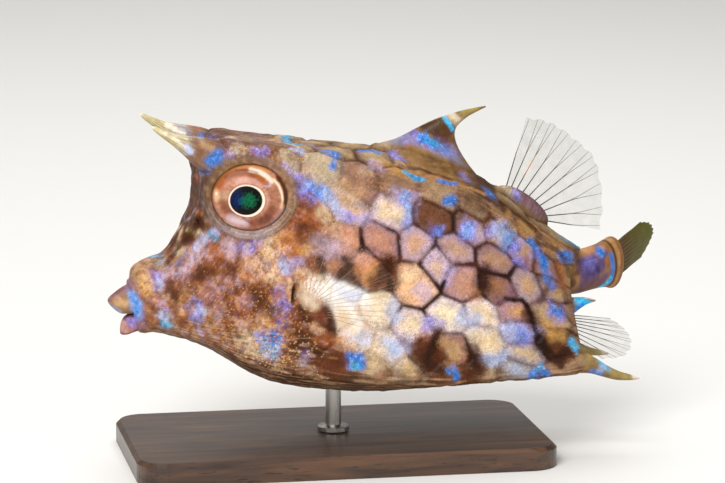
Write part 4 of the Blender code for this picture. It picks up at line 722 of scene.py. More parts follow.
def rings_shape(rings):
    """Points and faces of a pile of rings, both ends closed to a point."""
    rings = np.asarray(rings, float)
    rows, columns = rings.shape[:2]
    points = np.concatenate([rings.reshape(-1, 3), rings[:1].mean(1), rings[-1:].mean(1)])
    j = np.arange(columns)
    k = (j + 1) % columns
    last = (rows - 1) * columns
    first_cap = np.stack([k, j, np.full(columns, rows * columns)], -1)
    last_cap = np.stack([last + j, last + k, np.full(columns, rows * columns + 1)], -1)
    return points, [grid_faces(rows, columns), first_cap, last_cap]


def joined(shapes):
    """Several shapes as one list of points and faces."""
    points, faces, start = [], [], 0
    for shape_points, shape_faces in shapes:
        points.append(shape_points)
        faces += [f + start for f in shape_faces]
        start += len(shape_points)
    return np.concatenate(points), faces


def mesh_of(name, points, faces, look, paint=None, **values):
    """A piece from fish millimetres, with its paint and other values stored on its points."""
    mesh = bpy.data.meshes.new(name)
    mesh.vertices.add(len(points))
    mesh.vertices.foreach_set("co", place(points).astype(np.float32).ravel())
    corners = np.concatenate([f.ravel() for f in faces])
    sizes = np.concatenate([np.full(len(f), f.shape[1]) for f in faces])
    mesh.loops.add(len(corners))
    mesh.loops.foreach_set("vertex_index", corners.astype(np.int32))
    mesh.polygons.add(len(sizes))
    starts = np.concatenate([[0], np.cumsum(sizes)[:-1]])
    mesh.polygons.foreach_set("loop_start", starts.astype(np.int32))
    mesh.update(calc_edges=True)
    mesh.validate()
    mesh.shade_smooth()
    if paint is not None:
        layer = mesh.color_attributes.new("paint", "FLOAT_COLOR", "POINT")
        colours = np.column_stack([paint, np.ones(len(paint))])
        layer.data.foreach_set("color", colours.astype(np.float32).ravel())
    for key, value in values.items():
        stored = mesh.attributes.new(key, "FLOAT", "POINT")
        stored.data.foreach_set("value", np.asarray(value, np.float32))
    mesh.materials.append(look)
    piece = bpy.data.objects.new(name, mesh)
    bpy.context.scene.collection.objects.link(piece)
    return piece


def mounted(piece, slot, *nodes):
    """A piece rides on the model's one body and stands for its nodes; its slot is not used."""
    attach(piece, "root")
    if nodes:
        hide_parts(*nodes)
    return piece


def read_marks(text):
    """Rows of colour, strength, reach and points out of a table of marks."""
    rows = []
    for line in text.strip().splitlines():
        if not line.startswith("#"):
            colour, strength, reach, *spots = line.split()
            rows.append((colour, float(strength), float(reach),
                         np.array([[float(v) for v in spot.split(",")] for spot in spots])))
    return rows


def along_line(points, line):
    """Distance of each point from a line through a few points."""
    far = np.full(len(points), 1e9)
    for a, b in zip(line[:-1], line[1:]) if len(line) > 1 else [(line[0], line[0])]:
        way = b - a
        s = np.clip((points - a) @ way / max(way @ way, 1e-12), 0, 1)
        far = np.minimum(far, np.linalg.norm(points - a - s[:, None] * way, axis=1))
    return far


def brush(points, paint, marks, wobble=0.22, seed=5, spread=0.16, joints=None):
    """Lay marks on the paint, soft and stippled like pigment cells. Where joints are given, thin
    dark marks keep to them and broad ones get a brown halo. Blues glitter."""
    rough = ripple(points, 1.4, seed) * 0.7 + ripple(points, 0.6, seed + 1) * 0.3
    stipple = np.random.default_rng(seed).normal(0, spread, len(points))
    glitter = 0.2 * np.random.default_rng(seed + 4).normal(0, 1, len(points))
    glitter += 0.12 * ripple(points, 0.7, seed + 5)
    for colour, strength, reach, line in marks:
        low, high = line.min(0) - reach * 1.7, line.max(0) + reach * 1.7
        near = np.flatnonzero(((points > low) & (points < high)).all(1))
        if len(near) == 0:
            continue
        dark = joints is not None and colour in ("umber", "black")
        thin, broad = dark and reach < 1.4, dark and reach >= 1.4
        if thin:
            reach *= 1.5
        far = along_line(points[near], line) / reach
        far += rough[near] * wobble * min(1.0, reach) * (0.5 if broad else 1)
        weight = strength * smooth(1.45, 0.35 - 0.2 * broad, far + stipple[near] * min(1.0, reach))
        if broad:
            halo = 0.45 * strength * smooth(1.75, 0.9, far + stipple[near])
            paint[near] += (linear("6E3C1C") - paint[near]) * halo[:, None]
        if thin:
            weight = weight * joints[near]
        tint = np.tile(linear(PALETTE[colour]), (len(near), 1))
        if colour in ("azure", "cyan", "sky", "violet"):
            tint *= (1 + glitter[near])[:, None]
            blend(tint, "C4DCF4", 0.5 * smooth(0.3, 0.5, glitter[near]))
        paint[near] += (tint - paint[near]) * weight[:, None]


def plate_middles():
    """Middles of all plates on the plane of station value and distance round, with their looks."""
    rng = random.Random(12)
    looks = [row.split() for row in PLATE_LOOKS.replace("\n", " ").split(",")]
    left = [nearest_on_flank(x, z, -1) for x, z in LEFT_PLATES]
    right = [(t + rng.uniform(-0.7, 0.7), -w + rng.uniform(-0.6, 0.6)) for t, w in left]
    found, kinds = left + right, looks + looks
    back, belly = ([row.split() for row in text.split(",")] for text in (BACK_LOOKS, BELLY_LOOKS))
    rows, pitch = 22, 7.4
    for r in range(rows):
        w = wrap(r * GIRTH / rows)
        for c in range(13):
            t = 24.0 + (c + 0.5 * (r % 2)) * pitch * (0.93 if abs(w) < 12 else 1.0)
            t += rng.uniform(-0.5, 0.5)
            spot = (t, w + rng.uniform(-0.35, 0.35) * (abs(w) > 1))
            clear = 5.2 if 12 < abs(w) < 52 else 4.6
            if all(math.hypot(spot[0] - a, wrap(spot[1] - b)) > clear for a, b in found):
                found.append(spot)
                kinds.append((back if abs(w) < 30 else belly)[(r * 5 + c * 3) % 3])
    return np.array(found), kinds


def plates_at(t, w, middles):
    """For each point: its plate, the next plate, and how far the nearest two joints are."""
    own, other, joint, corner = (np.empty(len(t), kind) for kind in (int, int, float, float))
    for part in np.array_split(np.arange(len(t)), max(1, len(t) // 20000)):
        dt = t[part, None] - middles[:, 0]
        dw = wrap(w[part, None] - middles[:, 1])
        near = dt * dt + dw * dw
        few = np.argpartition(near, 5, axis=1)[:, :5]
        few = np.take_along_axis(few, np.take_along_axis(near, few, 1).argsort(1), 1).T
        a, row = few[0], np.arange(len(part))
        gaps = []
        for k in few[1:]:
            apart = np.hypot(middles[a, 0] - middles[k, 0], wrap(middles[a, 1] - middles[k, 1]))
            gaps.append((near[row, k] - near[row, a]) / (2 * apart))
        order = np.argsort(gaps, axis=0)
        gaps = np.sort(gaps, axis=0)
        own[part], other[part], joint[part], corner[part] = a, few[1:][order[0], row], gaps[0], gaps[1]
    return own, other, joint, corner


def skin_relief(t, joint):
    """Height of plates and joints over the smooth body, fading out over the face and the rim."""
    shown = smooth(GILL_T - 4, GILL_T + 2, t) * smooth(RIM_T + 1, RIM_T - 3, t)
    rise = smooth(0.0, SEAM_SLOPE, joint)
    dome = 0.10 * smooth(0.4, 3.4, joint)
    return shown * (-SEAM_DEPTH + (PLATE_RISE + SEAM_DEPTH) * rise + dome)


def flank_marks(points_left):
    """The marks as lines in space on the left flank, found from their places seen from the side."""
    tree = near_tree([(x, 0, z) for x, _, z in points_left])
    return [(colour, strength, reach, np.array([points_left[tree.find((x, 0, z))[1]] for x, z in line]))
            for colour, strength, reach, line in read_marks(MARKS)]


def blend(paint, code, weight):
    """Mix one colour into the paint."""
    paint += (linear(PALETTE.get(code, code)) - paint) * np.clip(weight, 0, 1)[:, None]


def face_base(p):
    """The face's ground colours: warm tan snout, brown cheek, mauve brow, tan-grey chin."""
    x, z = p[:, 0], p[:, 2]
    paint = np.tile(linear("94684C"), (len(p), 1))
    blend(paint, "804E30", 0.8 * smooth(-35, -29, x) * smooth(6, -2, z))
    blend(paint, "6E4E40", 0.8 * smooth(9, 15, z))
    blend(paint, "54392A", 0.85 * smooth(-29, -33, x) * smooth(-1, 4, z))
    blend(paint, "7E6450", 0.75 * smooth(-12, -19, z + (x + 34) * 0.45))
    blend(paint, "A6805E", 0.75 * smooth(-38, -43, x))
    return paint


def foot_line(x):
    """Height of the line where the thorn's smooth skin meets the plates."""
    along, high = zip((4.5, 18.9), (7.5, 15.8), (11.5, 14.9), (15.5, 13.3), (18.5, 11.9),
                      (22.5, 10.0), (25.5, 8.6))
    return FOOT_LIFT * np.interp(x, along, high)


def thorn_foot(side, w):
    """How far a point belongs to the smooth skin round the thorn."""
    x = side[:, 0]
    round_off = smooth(1.15, 0.85, np.abs((x - 15) / 11.5)**3 + np.abs(w / 14)**3)
    return smooth(-0.1, 0.5, side[:, 2] - foot_line(x)) * round_off * (np.abs(w) < 12)


def skin_paint(p, t, w, plates, kinds, marks):
    """Colour of every point of the skin, and how strongly fine dark dots show on it."""
    own, other, joint, corner = plates
    grain = np.random.default_rng(3).normal(0, 1, len(p))
    centre, edge = (np.array([linear(kind[k]) for kind in kinds]) for k in (0, 1))
    dark = np.array([float(kind[2]) for kind in kinds])
    side = np.column_stack([p[:, 0], -np.abs(p[:, 1]), p[:, 2]])
    soft = ripple(side, 2.6, 31) * 0.45 + ripple(side, 0.9, 32) * 0.25
    inward = smooth(0.2, 2.8, joint + soft * 0.6 + grain * 0.3)
    paint = edge[own] + (centre[own] - edge[own]) * inward[:, None]
    paint += (edge[other] - paint) * (0.5 * np.exp(-np.maximum(joint, 0) / 0.45))[:, None]
    head = smooth(GILL_T + 1.5, GILL_T - 4.5, t + soft)
    paint += (face_base(side) - paint) * head[:, None]
    pair = (dark[own] + dark[other]) / 2
    low = smooth(48, 52, np.abs(w))
    broad = 0.22 + 0.28 * pair + 0.5 * (pair + 0.1) * np.exp(-(corner / 1.1)**2) + 0.05 * soft
    seam = pair * np.exp(-((joint + 0.06 * grain) / broad)**2) * (1 - head) * (1 - 0.7 * low)
    blend(paint, "3C1C0C", seam * 2.0)
    blend(paint, "240E05", smooth(0.42, 0.8, seam * 1.2))
    # The thorn's smooth skin comes down to the upper ridge.
    foot = thorn_foot(side, w)
    blend(paint, "86622F", foot)
    cloud = ripple(side, 3.2, 47) + 0.6 * ripple(side, 1.1, 48)
    blend(paint, "A87E48", 0.5 * foot * smooth(0.2, 1.4, cloud))
    blend(paint, "543A22", 0.5 * foot * smooth(-0.2, -1.4, cloud))
    blend(paint, "5E4038", foot * smooth(17, 22, side[:, 0]) * 0.7)
    blend(paint, "3E2418", foot * smooth(20.5, 22.5, side[:, 0]) * 0.6)
    edge_line = smooth(0.55, 0.15, np.abs(side[:, 2] - foot_line(side[:, 0])) + 0.15 * soft)
    edge_line = 0.8 * edge_line * smooth(6, 8, side[:, 0]) * (np.abs(w) < 12)
    blend(paint, "4A2A18", edge_line * smooth(26, 23, side[:, 0]))
    # A golden line runs along the upper ridge, over brown with fine streaks.
    crest = np.abs(w) - 10.7 + 0.25 * soft
    hair = ripple(np.column_stack([side[:, 0] * 0.25 + side[:, 2] * 0.1, np.abs(w) * 1.3]), 0.7, 43)
    along = smooth(44, 50, t) * smooth(86, 82, t)
    blend(paint, "6E4C34", 0.5 * along * smooth(3.4, 1.8, np.abs(crest - 2.2)))
    blend(paint, "A8845A", 0.5 * along * smooth(3.2, 1.6, np.abs(crest - 2.2)) * smooth(0.3, 1.0, hair))
    blend(paint, "BE8E50", 0.65 * along * smooth(0.95, 0.3, np.abs(crest)))
    # The lower ridge is streaked lengthwise, tan over brown.
    ridge = smooth(49.0, 54.0, np.abs(w)) * smooth(64, 57, np.abs(w)) * smooth(10, 22, t)
    streak = ripple(np.column_stack([side[:, 0] * 0.18, np.abs(w) * 1.1]), 0.9, 41)
    # Below the lower ridge the belly is painted darker brown, a painted shade under the ridge.
    under = smooth(54.5, 57.5, np.abs(w)) * smooth(8, 20, t)
    blend(paint, "5E4834", under * 0.6)
    blend(paint, "5A3A24", ridge * 0.55)
    blend(paint, "B4906C", ridge * 0.75 * smooth(0.35, 0.9, streak))
    blend(paint, "3E2616", ridge * 0.6 * smooth(-0.1, -0.9, streak))
    brush(side, paint, marks, joints=np.maximum(np.exp(-(joint / 0.5)**2), 0.6 * head))
    # Fine lines run along the chin and the lower cheek.
    chin = smooth(38, 46, np.abs(w)) * smooth(36, 30, t) * smooth(6, 12, t)
    wrinkle = ripple(np.column_stack([side[:, 0] * 0.3, np.abs(w) * 1.5]), 0.9, 45)
    blend(paint, "D2B088", 0.4 * chin * smooth(0.4, 1.2, wrinkle))
    blend(paint, "5A3A24", 0.4 * chin * smooth(-0.4, -1.2, wrinkle))
    # Fine flecks of brown, rust, cream and lilac, dense over the face.
    first = ripple(side, 1.0, 35) + 0.6 * ripple(side, 0.45, 36)
    second = ripple(side, 0.85, 37) + 0.6 * ripple(side, 0.42, 38)
    white = smooth(7.5, 5.0, np.hypot(side[:, 0] + 6.0, side[:, 2] + 9.6))
    much = 0.07 + 0.06 * (1 - inward) + 0.36 * smooth(GILL_T + 8, GILL_T - 6, t + soft * 3)
    much *= 1 - 0.85 * white
    lit = smooth(0.02, 0.16, paint.mean(1))
    blend(paint, "4A240E", much * smooth(0.2, 1.6, first))
    blend(paint, "DFB283", much * 0.65 * smooth(0.5, 1.9, -first) * lit)
    blend(paint, "9E5420", much * smooth(0.4, 1.6, second) * lit)
    blend(paint, "B890A8", much * 0.55 * smooth(0.6, 1.9, -second) * lit)
    # Single dark violet pigment cells, denser towards the plates' edges.
    cells = np.random.default_rng(9).random(len(p)) < 0.05 + 0.06 * (1 - inward)
    blend(paint, "5E4668", 0.38 * cells * lit * (1 - 0.8 * white))
    # The hind end and the back are painted darker, a painted shade; the mottle factor below carries it.
    shade = 1 - 0.13 * smooth(14, 30, side[:, 0]) - 0.12 * smooth(16, 9, np.abs(w))
    mottle = 0.07 * ripple(side, 1.7, 33) + 0.05 * ripple(side, 0.6, 34) + 0.045 * grain
    mottle = shade * (1 + mottle * (1 - 0.7 * white))
    paint *= np.clip(mottle, 0.6, 1.4)[:, None]
    specks = (0.3 + 0.5 * (1 - inward) + 0.15 * head) * (1 - 0.8 * white)
    return np.clip(paint, 0, 1), specks


def tubercles(side, w):
    """Share and brightness of the golden tubercles over the cheek and the brow."""
    maker = random.Random(8)
    share, bright = np.zeros(len(side)), np.zeros(len(side))
    cheek = np.flatnonzero((side[:, 0] < 6) & (np.abs(w) > 12) & (np.abs(w) < 56))
    cheek = cheek[np.argsort(side[cheek, 0])]
    along = side[cheek, 0]
    for _ in range(TUBERCLES):
        x, z = maker.uniform(-38, 4), maker.uniform(-25, 20)
        reach = maker.uniform(0.05, 0.13)
        low = -0.62 * (x + 36) - 13.5
        often = smooth(5, -7, z - 0.1 * x) * smooth(-38, -30, x) * smooth(-9, -19, x) if z > low else 0.0
        behind_eye = math.hypot(x, z - 12) < 4.5
        on_brow = math.hypot((x + 22) / 8, (z - 18.4) / 1.7) < 1
        often = max(often, 0.4 * behind_eye, 0.7 * on_brow)
        if maker.random() > often:
            continue
        near = cheek[np.searchsorted(along, x - 0.5):np.searchsorted(along, x + 0.5)]
        far = np.hypot(side[near, 0] - x, side[near, 2] - z)
        weight = smooth(reach * 1.8, reach * 0.5, far)
        tone = maker.uniform(0.0, 0.35) + 0.5 * smooth(-12, -19, z) * smooth(-32, -22, x)
        bright[near] = np.where(weight > share[near], tone, bright[near])
        share[near] = np.maximum(share[near], weight)
    return share, bright


def eye_place(side):
    """Middle, axis, forward and upward directions of an eye."""
    t, w = nearest_on_flank(EYE_X, EYE_Z, side)
    axis = np.array([-0.12, 0.975 * side, 0.16])
    axis /= np.linalg.norm(axis)
    up = np.array([0, 0, 1.0]) - axis * axis[2]
    up /= np.linalg.norm(up)
    back = np.cross(axis, up) * side
    return body_point(t, w), axis, back, up


def ring_paint(p, paint, side):
    """Thin grey-brown lids round an eye: tan above, lavender below, a fine dark line outside."""
    middle, axis, back, up = eye_place(side)
    away = p - middle
    across, high = away @ back, away @ up / EYE_SQUAT
    far = np.hypot(across, high)
    near = np.flatnonzero((far < 12) & (p[:, 1] * side > 0) & (np.abs(away @ axis) < 8))
    turn = np.arctan2(high[near], across[near])
    f = far[near] + 0.15 * ripple(p[near], 2.0, 91)
    share = paint[near]
    blend(share, "7A5F4C", 0.6 * smooth(9.9, 8.6, f))
    blend(share, "6E5252", 0.45 * smooth(9.7, 9.0, f) * smooth(0.2, 0.9, np.sin(turn)))
    blend(share, "94745A", 0.6 * smooth(9.6, 9.0, f) * smooth(0.1, 0.8, np.cos(turn)))
    blend(share, "B2A4A8", 0.65 * smooth(9.6, 8.8, f) * smooth(-0.35, -0.85, np.sin(turn + 0.3)))
    blend(share, "5E4030", 0.7 * smooth(9.4, 8.8, f) * smooth(-0.3, -0.8, np.cos(turn)))
    blend(share, "B87C3C", 0.5 * smooth(8.1, 7.5, f) * smooth(0.1, 0.7, np.sin(turn + 0.5)))
    blend(share, "7A5440", 0.4 * smooth(8.0, 7.5, f))
    blend(share, "80602F", 0.45 * smooth(9.4, 8.4, f) * smooth(0.4, 0.9, np.cos(turn - 2.3)))
    mosaic = ripple(p[near], 0.75, 94)
    blend(share, "A88A70", 0.3 * smooth(0.3, 1.2, mosaic) * smooth(10.2, 9.2, f))
    blend(share, "553C36", 0.35 * smooth(0.3, 1.2, -mosaic) * smooth(10.2, 9.2, f))
    uneven = 0.6 * ripple(np.column_stack([turn * 3, f * 0.5]), 2.0, 93)
    folds = np.cos((f - FOLD_START) * 2 * math.pi / FOLD_STEP + uneven) * smooth(10.0, 9.0, f)
    folds *= 0.25 + 0.65 * smooth(0.2, -0.8, np.sin(turn))
    blend(share, "C6AA92", 0.3 * smooth(0.2, 0.95, folds))
    blend(share, "4A3020", 0.28 * smooth(0.2, 0.95, -folds))
    paint[near] = share


def set_sockets(p):
    """Sink the eyes' sockets into the skin and raise a soft ring round each."""
    for side in (-1, 1):
        middle, axis, back, up = eye_place(side)
        away = p - middle
        high = away @ axis
        far = np.hypot(away @ back, away @ up / EYE_SQUAT)
        near = np.flatnonzero((far < 13) & (np.abs(high) < 9) & (p[:, 1] * side > 0))
        f, h = far[near], high[near]
        # Where the face falls away in front of the eye, the ring hugs its rim.
        falls = smooth(-0.5, -2.6, h)
        wide = ORBIT_THICK + 0.3 - 0.45 * falls
        off = (f - ORBIT_RADIUS + 0.4 * falls) / wide
        ring = 0.1 + (ORBIT_HIGH - 0.15 * falls) * np.clip(1 - off**2, 0, 1)**0.7
        ring -= np.where((off > 1) & (h > -0.6), 1.8, 3.0) * np.maximum(np.abs(off) - 1, 0) * wide
        ring += 0.015 * np.cos((f - FOLD_START) * 2 * math.pi / FOLD_STEP) * smooth(10.0, 9.3, f)
        top = np.maximum(ring, h) + np.maximum(0.9 - np.abs(ring - h), 0)**2 / 3.6
        # The cheek never rises over the eye's rim, and the socket drops away under the eye.
        inner = smooth(ORBIT_RADIUS + 1.0, ORBIT_RADIUS, f) * (f > EYE_RADIUS) * (1 - falls)
        top += (np.minimum(top, ring + 0.1) - top) * inner
        top += (-2.6 - top) * smooth(EYE_RADIUS + 0.05, EYE_RADIUS - 0.5, f)
        p[near] += axis * (top - h)[:, None]


def near_tree(points):
    """A search tree over points, which finds the nearest one to a place."""
    tree = KDTree(len(points))
    for k, point in enumerate(points):
        tree.insert(point, k)
    tree.balance()
    return tree


def swell(points, outward, neighbours, reach):
    """Move points outward where a neighbouring form comes near, which gives the two a soft fillet."""
    low, high = neighbours.min(0) - reach, neighbours.max(0) + reach
    tree = near_tree(neighbours)
    near = np.flatnonzero(((points > low) & (points < high)).all(1))
    push = np.array([max(reach - tree.find(points[k])[2], 0)**2 / (4 * reach) for k in near])
    points[near] += outward[near] * push[:, None]


def take_paint(points, paint, skin_points, skin_paint, reach):
    """Fade a piece's paint into the skin's where the two meet."""
    low, high = points.min(0) - 1, points.max(0) + 1
    near = np.flatnonzero(((skin_points > low) & (skin_points < high)).all(1))
    tree = near_tree(skin_points[near])
    for k, point in enumerate(points):
        _, found, far = tree.find(point)
        paint[k] += (skin_paint[near[found]] - paint[k]) * max(0.0, 1 - far / reach)


def tube_rings(rows, count, turn, grooves=0, depth=0.0):
    """Rings of a horn-like form through rows of x, y, z, half-height and half-width."""
    rows = curve_through(rows, count)
    ahead = np.gradient(rows[:, :3], axis=0)
    ahead /= np.linalg.norm(ahead, axis=1, keepdims=True)
    upright = np.array([0, 0, 1.0]) if abs(ahead[0][2]) < 0.9 else np.array([-1.0, 0, 0])
    shape = 1 - depth * (0.5 + 0.5 * np.cos(grooves * turn)) if grooves else 1 + 0 * turn
    rings = []
    for row, way in zip(rows, ahead):
        side = np.cross(way, upright)
        side /= np.linalg.norm(side)
        up = np.cross(side, way)
        rings.append(row[:3] + (np.cos(turn) * shape)[:, None] * up * row[3]
                     + (np.sin(turn) * shape)[:, None] * side * row[4])
    return np.array(rings)


def around(count):
    """Angles of a ring's points."""
    return np.arange(count) / count * 2 * math.pi


# Forms along a line: x, y, z, half-height, half-width. Those of a pair are given for the right.
HORN = [(-28.6, 7.7, 18.0, 3.8, 2.7), (-30.0, 7.9, 18.6, 3.6, 2.6), (-32.6, 8.2, 19.8, 3.3, 2.4),
        (-34.8, 8.5, 20.9, 2.6, 1.9), (-36.8, 8.7, 21.9, 1.85, 1.4), (-38.8, 9.0, 22.9, 1.2, 0.95),
        (-40.9, 9.3, 24.1, 0.8, 0.7), (-42.6, 9.55, 25.15, 0.5, 0.45), (-43.3, 9.6, 25.55, 0.18, 0.18)]
SPINE = [(39.2, 10.2, -23.4, 2.2, 1.3), (42.2, 11.2, -23.9, 2.3, 1.5), (44.6, 11.7, -24.6, 1.7, 1.5),
         (47.0, 12.0, -25.7, 1.25, 1.2), (49.6, 12.2, -26.7, 0.95, 0.95), (52.2, 12.3, -27.2, 0.6, 0.6),
         (54.2, 12.3, -27.5, 0.2, 0.2)]
FLAP = [(40.2, 6.7, -13.6, 2.0, 1.0), (41.6, 6.6, -13.2, 1.7, 0.75), (43.0, 6.4, -12.8, 1.25, 0.55),
        (44.6, 6.2, -12.5, 0.75, 0.4), (46.6, 6.0, -12.5, 0.15, 0.15)]
PAD = [(-15.6, 13.6, -6.2, 0.3, 0.3), (-15.0, 13.9, -7.0, 1.7, 1.0), (-13.8, 14.1, -8.4, 2.4, 1.5),
       (-12.6, 14.2, -9.8, 2.4, 1.6), (-11.4, 14.3, -11.2, 1.8, 1.2), (-10.5, 14.2, -12.2, 0.3, 0.2)]
SECOND_PAD = [(-14.2, 13.6, -14.6, 0.3, 0.3), (-13.4, 14.2, -14.6, 1.3, 0.8), (-12.2, 14.4, -14.7, 1.6, 0.9),
              (-11.2, 14.4, -14.8, 1.2, 0.7), (-10.5, 14.2, -14.8, 0.3, 0.3)]
LOBE = [(26.8, 0, 9.0, 0.4, 0.3), (28.0, 0, 8.8, 1.9, 1.4), (30.0, 0, 7.6, 2.7, 2.0),
        (32.6, 0, 5.8, 2.9, 2.2), (35.0, 0, 4.0, 2.6, 2.0), (36.9, 0, 2.6, 1.7, 1.3),
        (37.8, 0, 1.9, 0.3, 0.3)]
ANAL_LOBE = [(40.9, 0, -15.6, 0.3, 0.3), (41.2, 0, -16.4, 0.9, 0.9), (41.4, 0, -18.6, 1.5, 1.5),
             (41.4, 0, -20.8, 1.3, 1.3), (41.2, 0, -22.4, 0.4, 0.4)]
STALK = [(40.9, 0.05, STALK_Z, 4.6, 4.2), (42.4, 0.3, -7.9, 4.4, 3.9), (44.2, 0.8, -7.8, 4.4, 3.75),
         (47.2, 2.4, -7.5, 4.4, 3.35), (50.0, 4.4, -7.3, 4.6, 3.05), (51.8, 5.9, -7.2, 5.0, 3.05),
         (53.1, 7.0, -7.2, 5.35, 2.95), (54.1, 7.9, -7.2, 4.7, 2.3)]
# Lens-shaped slices of the dorsal thorn: front x, z, rear x, z, half-width.
THORN = [(-3.4, 14.0, 33.6, 0.6, 7.4), (-1.0, 17.0, 31.0, 4.0, 6.2), (3.0, 19.6, 27.4, 8.6, 4.6),
         (6.8, 20.7, 23.8, 12.3, 3.2), (11.0, 22.7, 21.0, 15.9, 2.1), (14.6, 24.3, 19.1, 19.4, 1.45),
         (17.4, 25.2, 18.9, 22.2, 1.0), (20.4, 26.0, 21.0, 24.4, 0.7), (23.2, 26.5, 23.6, 25.8, 0.4),
         (25.0, 26.75, 25.1, 26.5, 0.15)]
# Lips: x, top, bottom, half-width.
UPPER_LIP = [(-51.3, -10.15, -10.25, 0.1), (-51.15, -9.8, -10.7, 0.7), (-50.7, -9.3, -11.3, 1.6),
             (-49.9, -8.7, -12.1, 2.5), (-48.8, -7.9, -12.8, 3.2), (-47.2, -7.1, -12.9, 3.9),
             (-44.6, -6.6, -12.9, 4.3)]
LOWER_LIP = [(-48.9, -15.8, -16.9, 0.3), (-48.7, -14.8, -17.1, 1.2), (-48.2, -13.8, -17.2, 2.0),
             (-47.5, -13.2, -17.1, 2.7), (-46.6, -12.9, -16.7, 3.3), (-43.2, -13.0, -15.6, 3.1)]

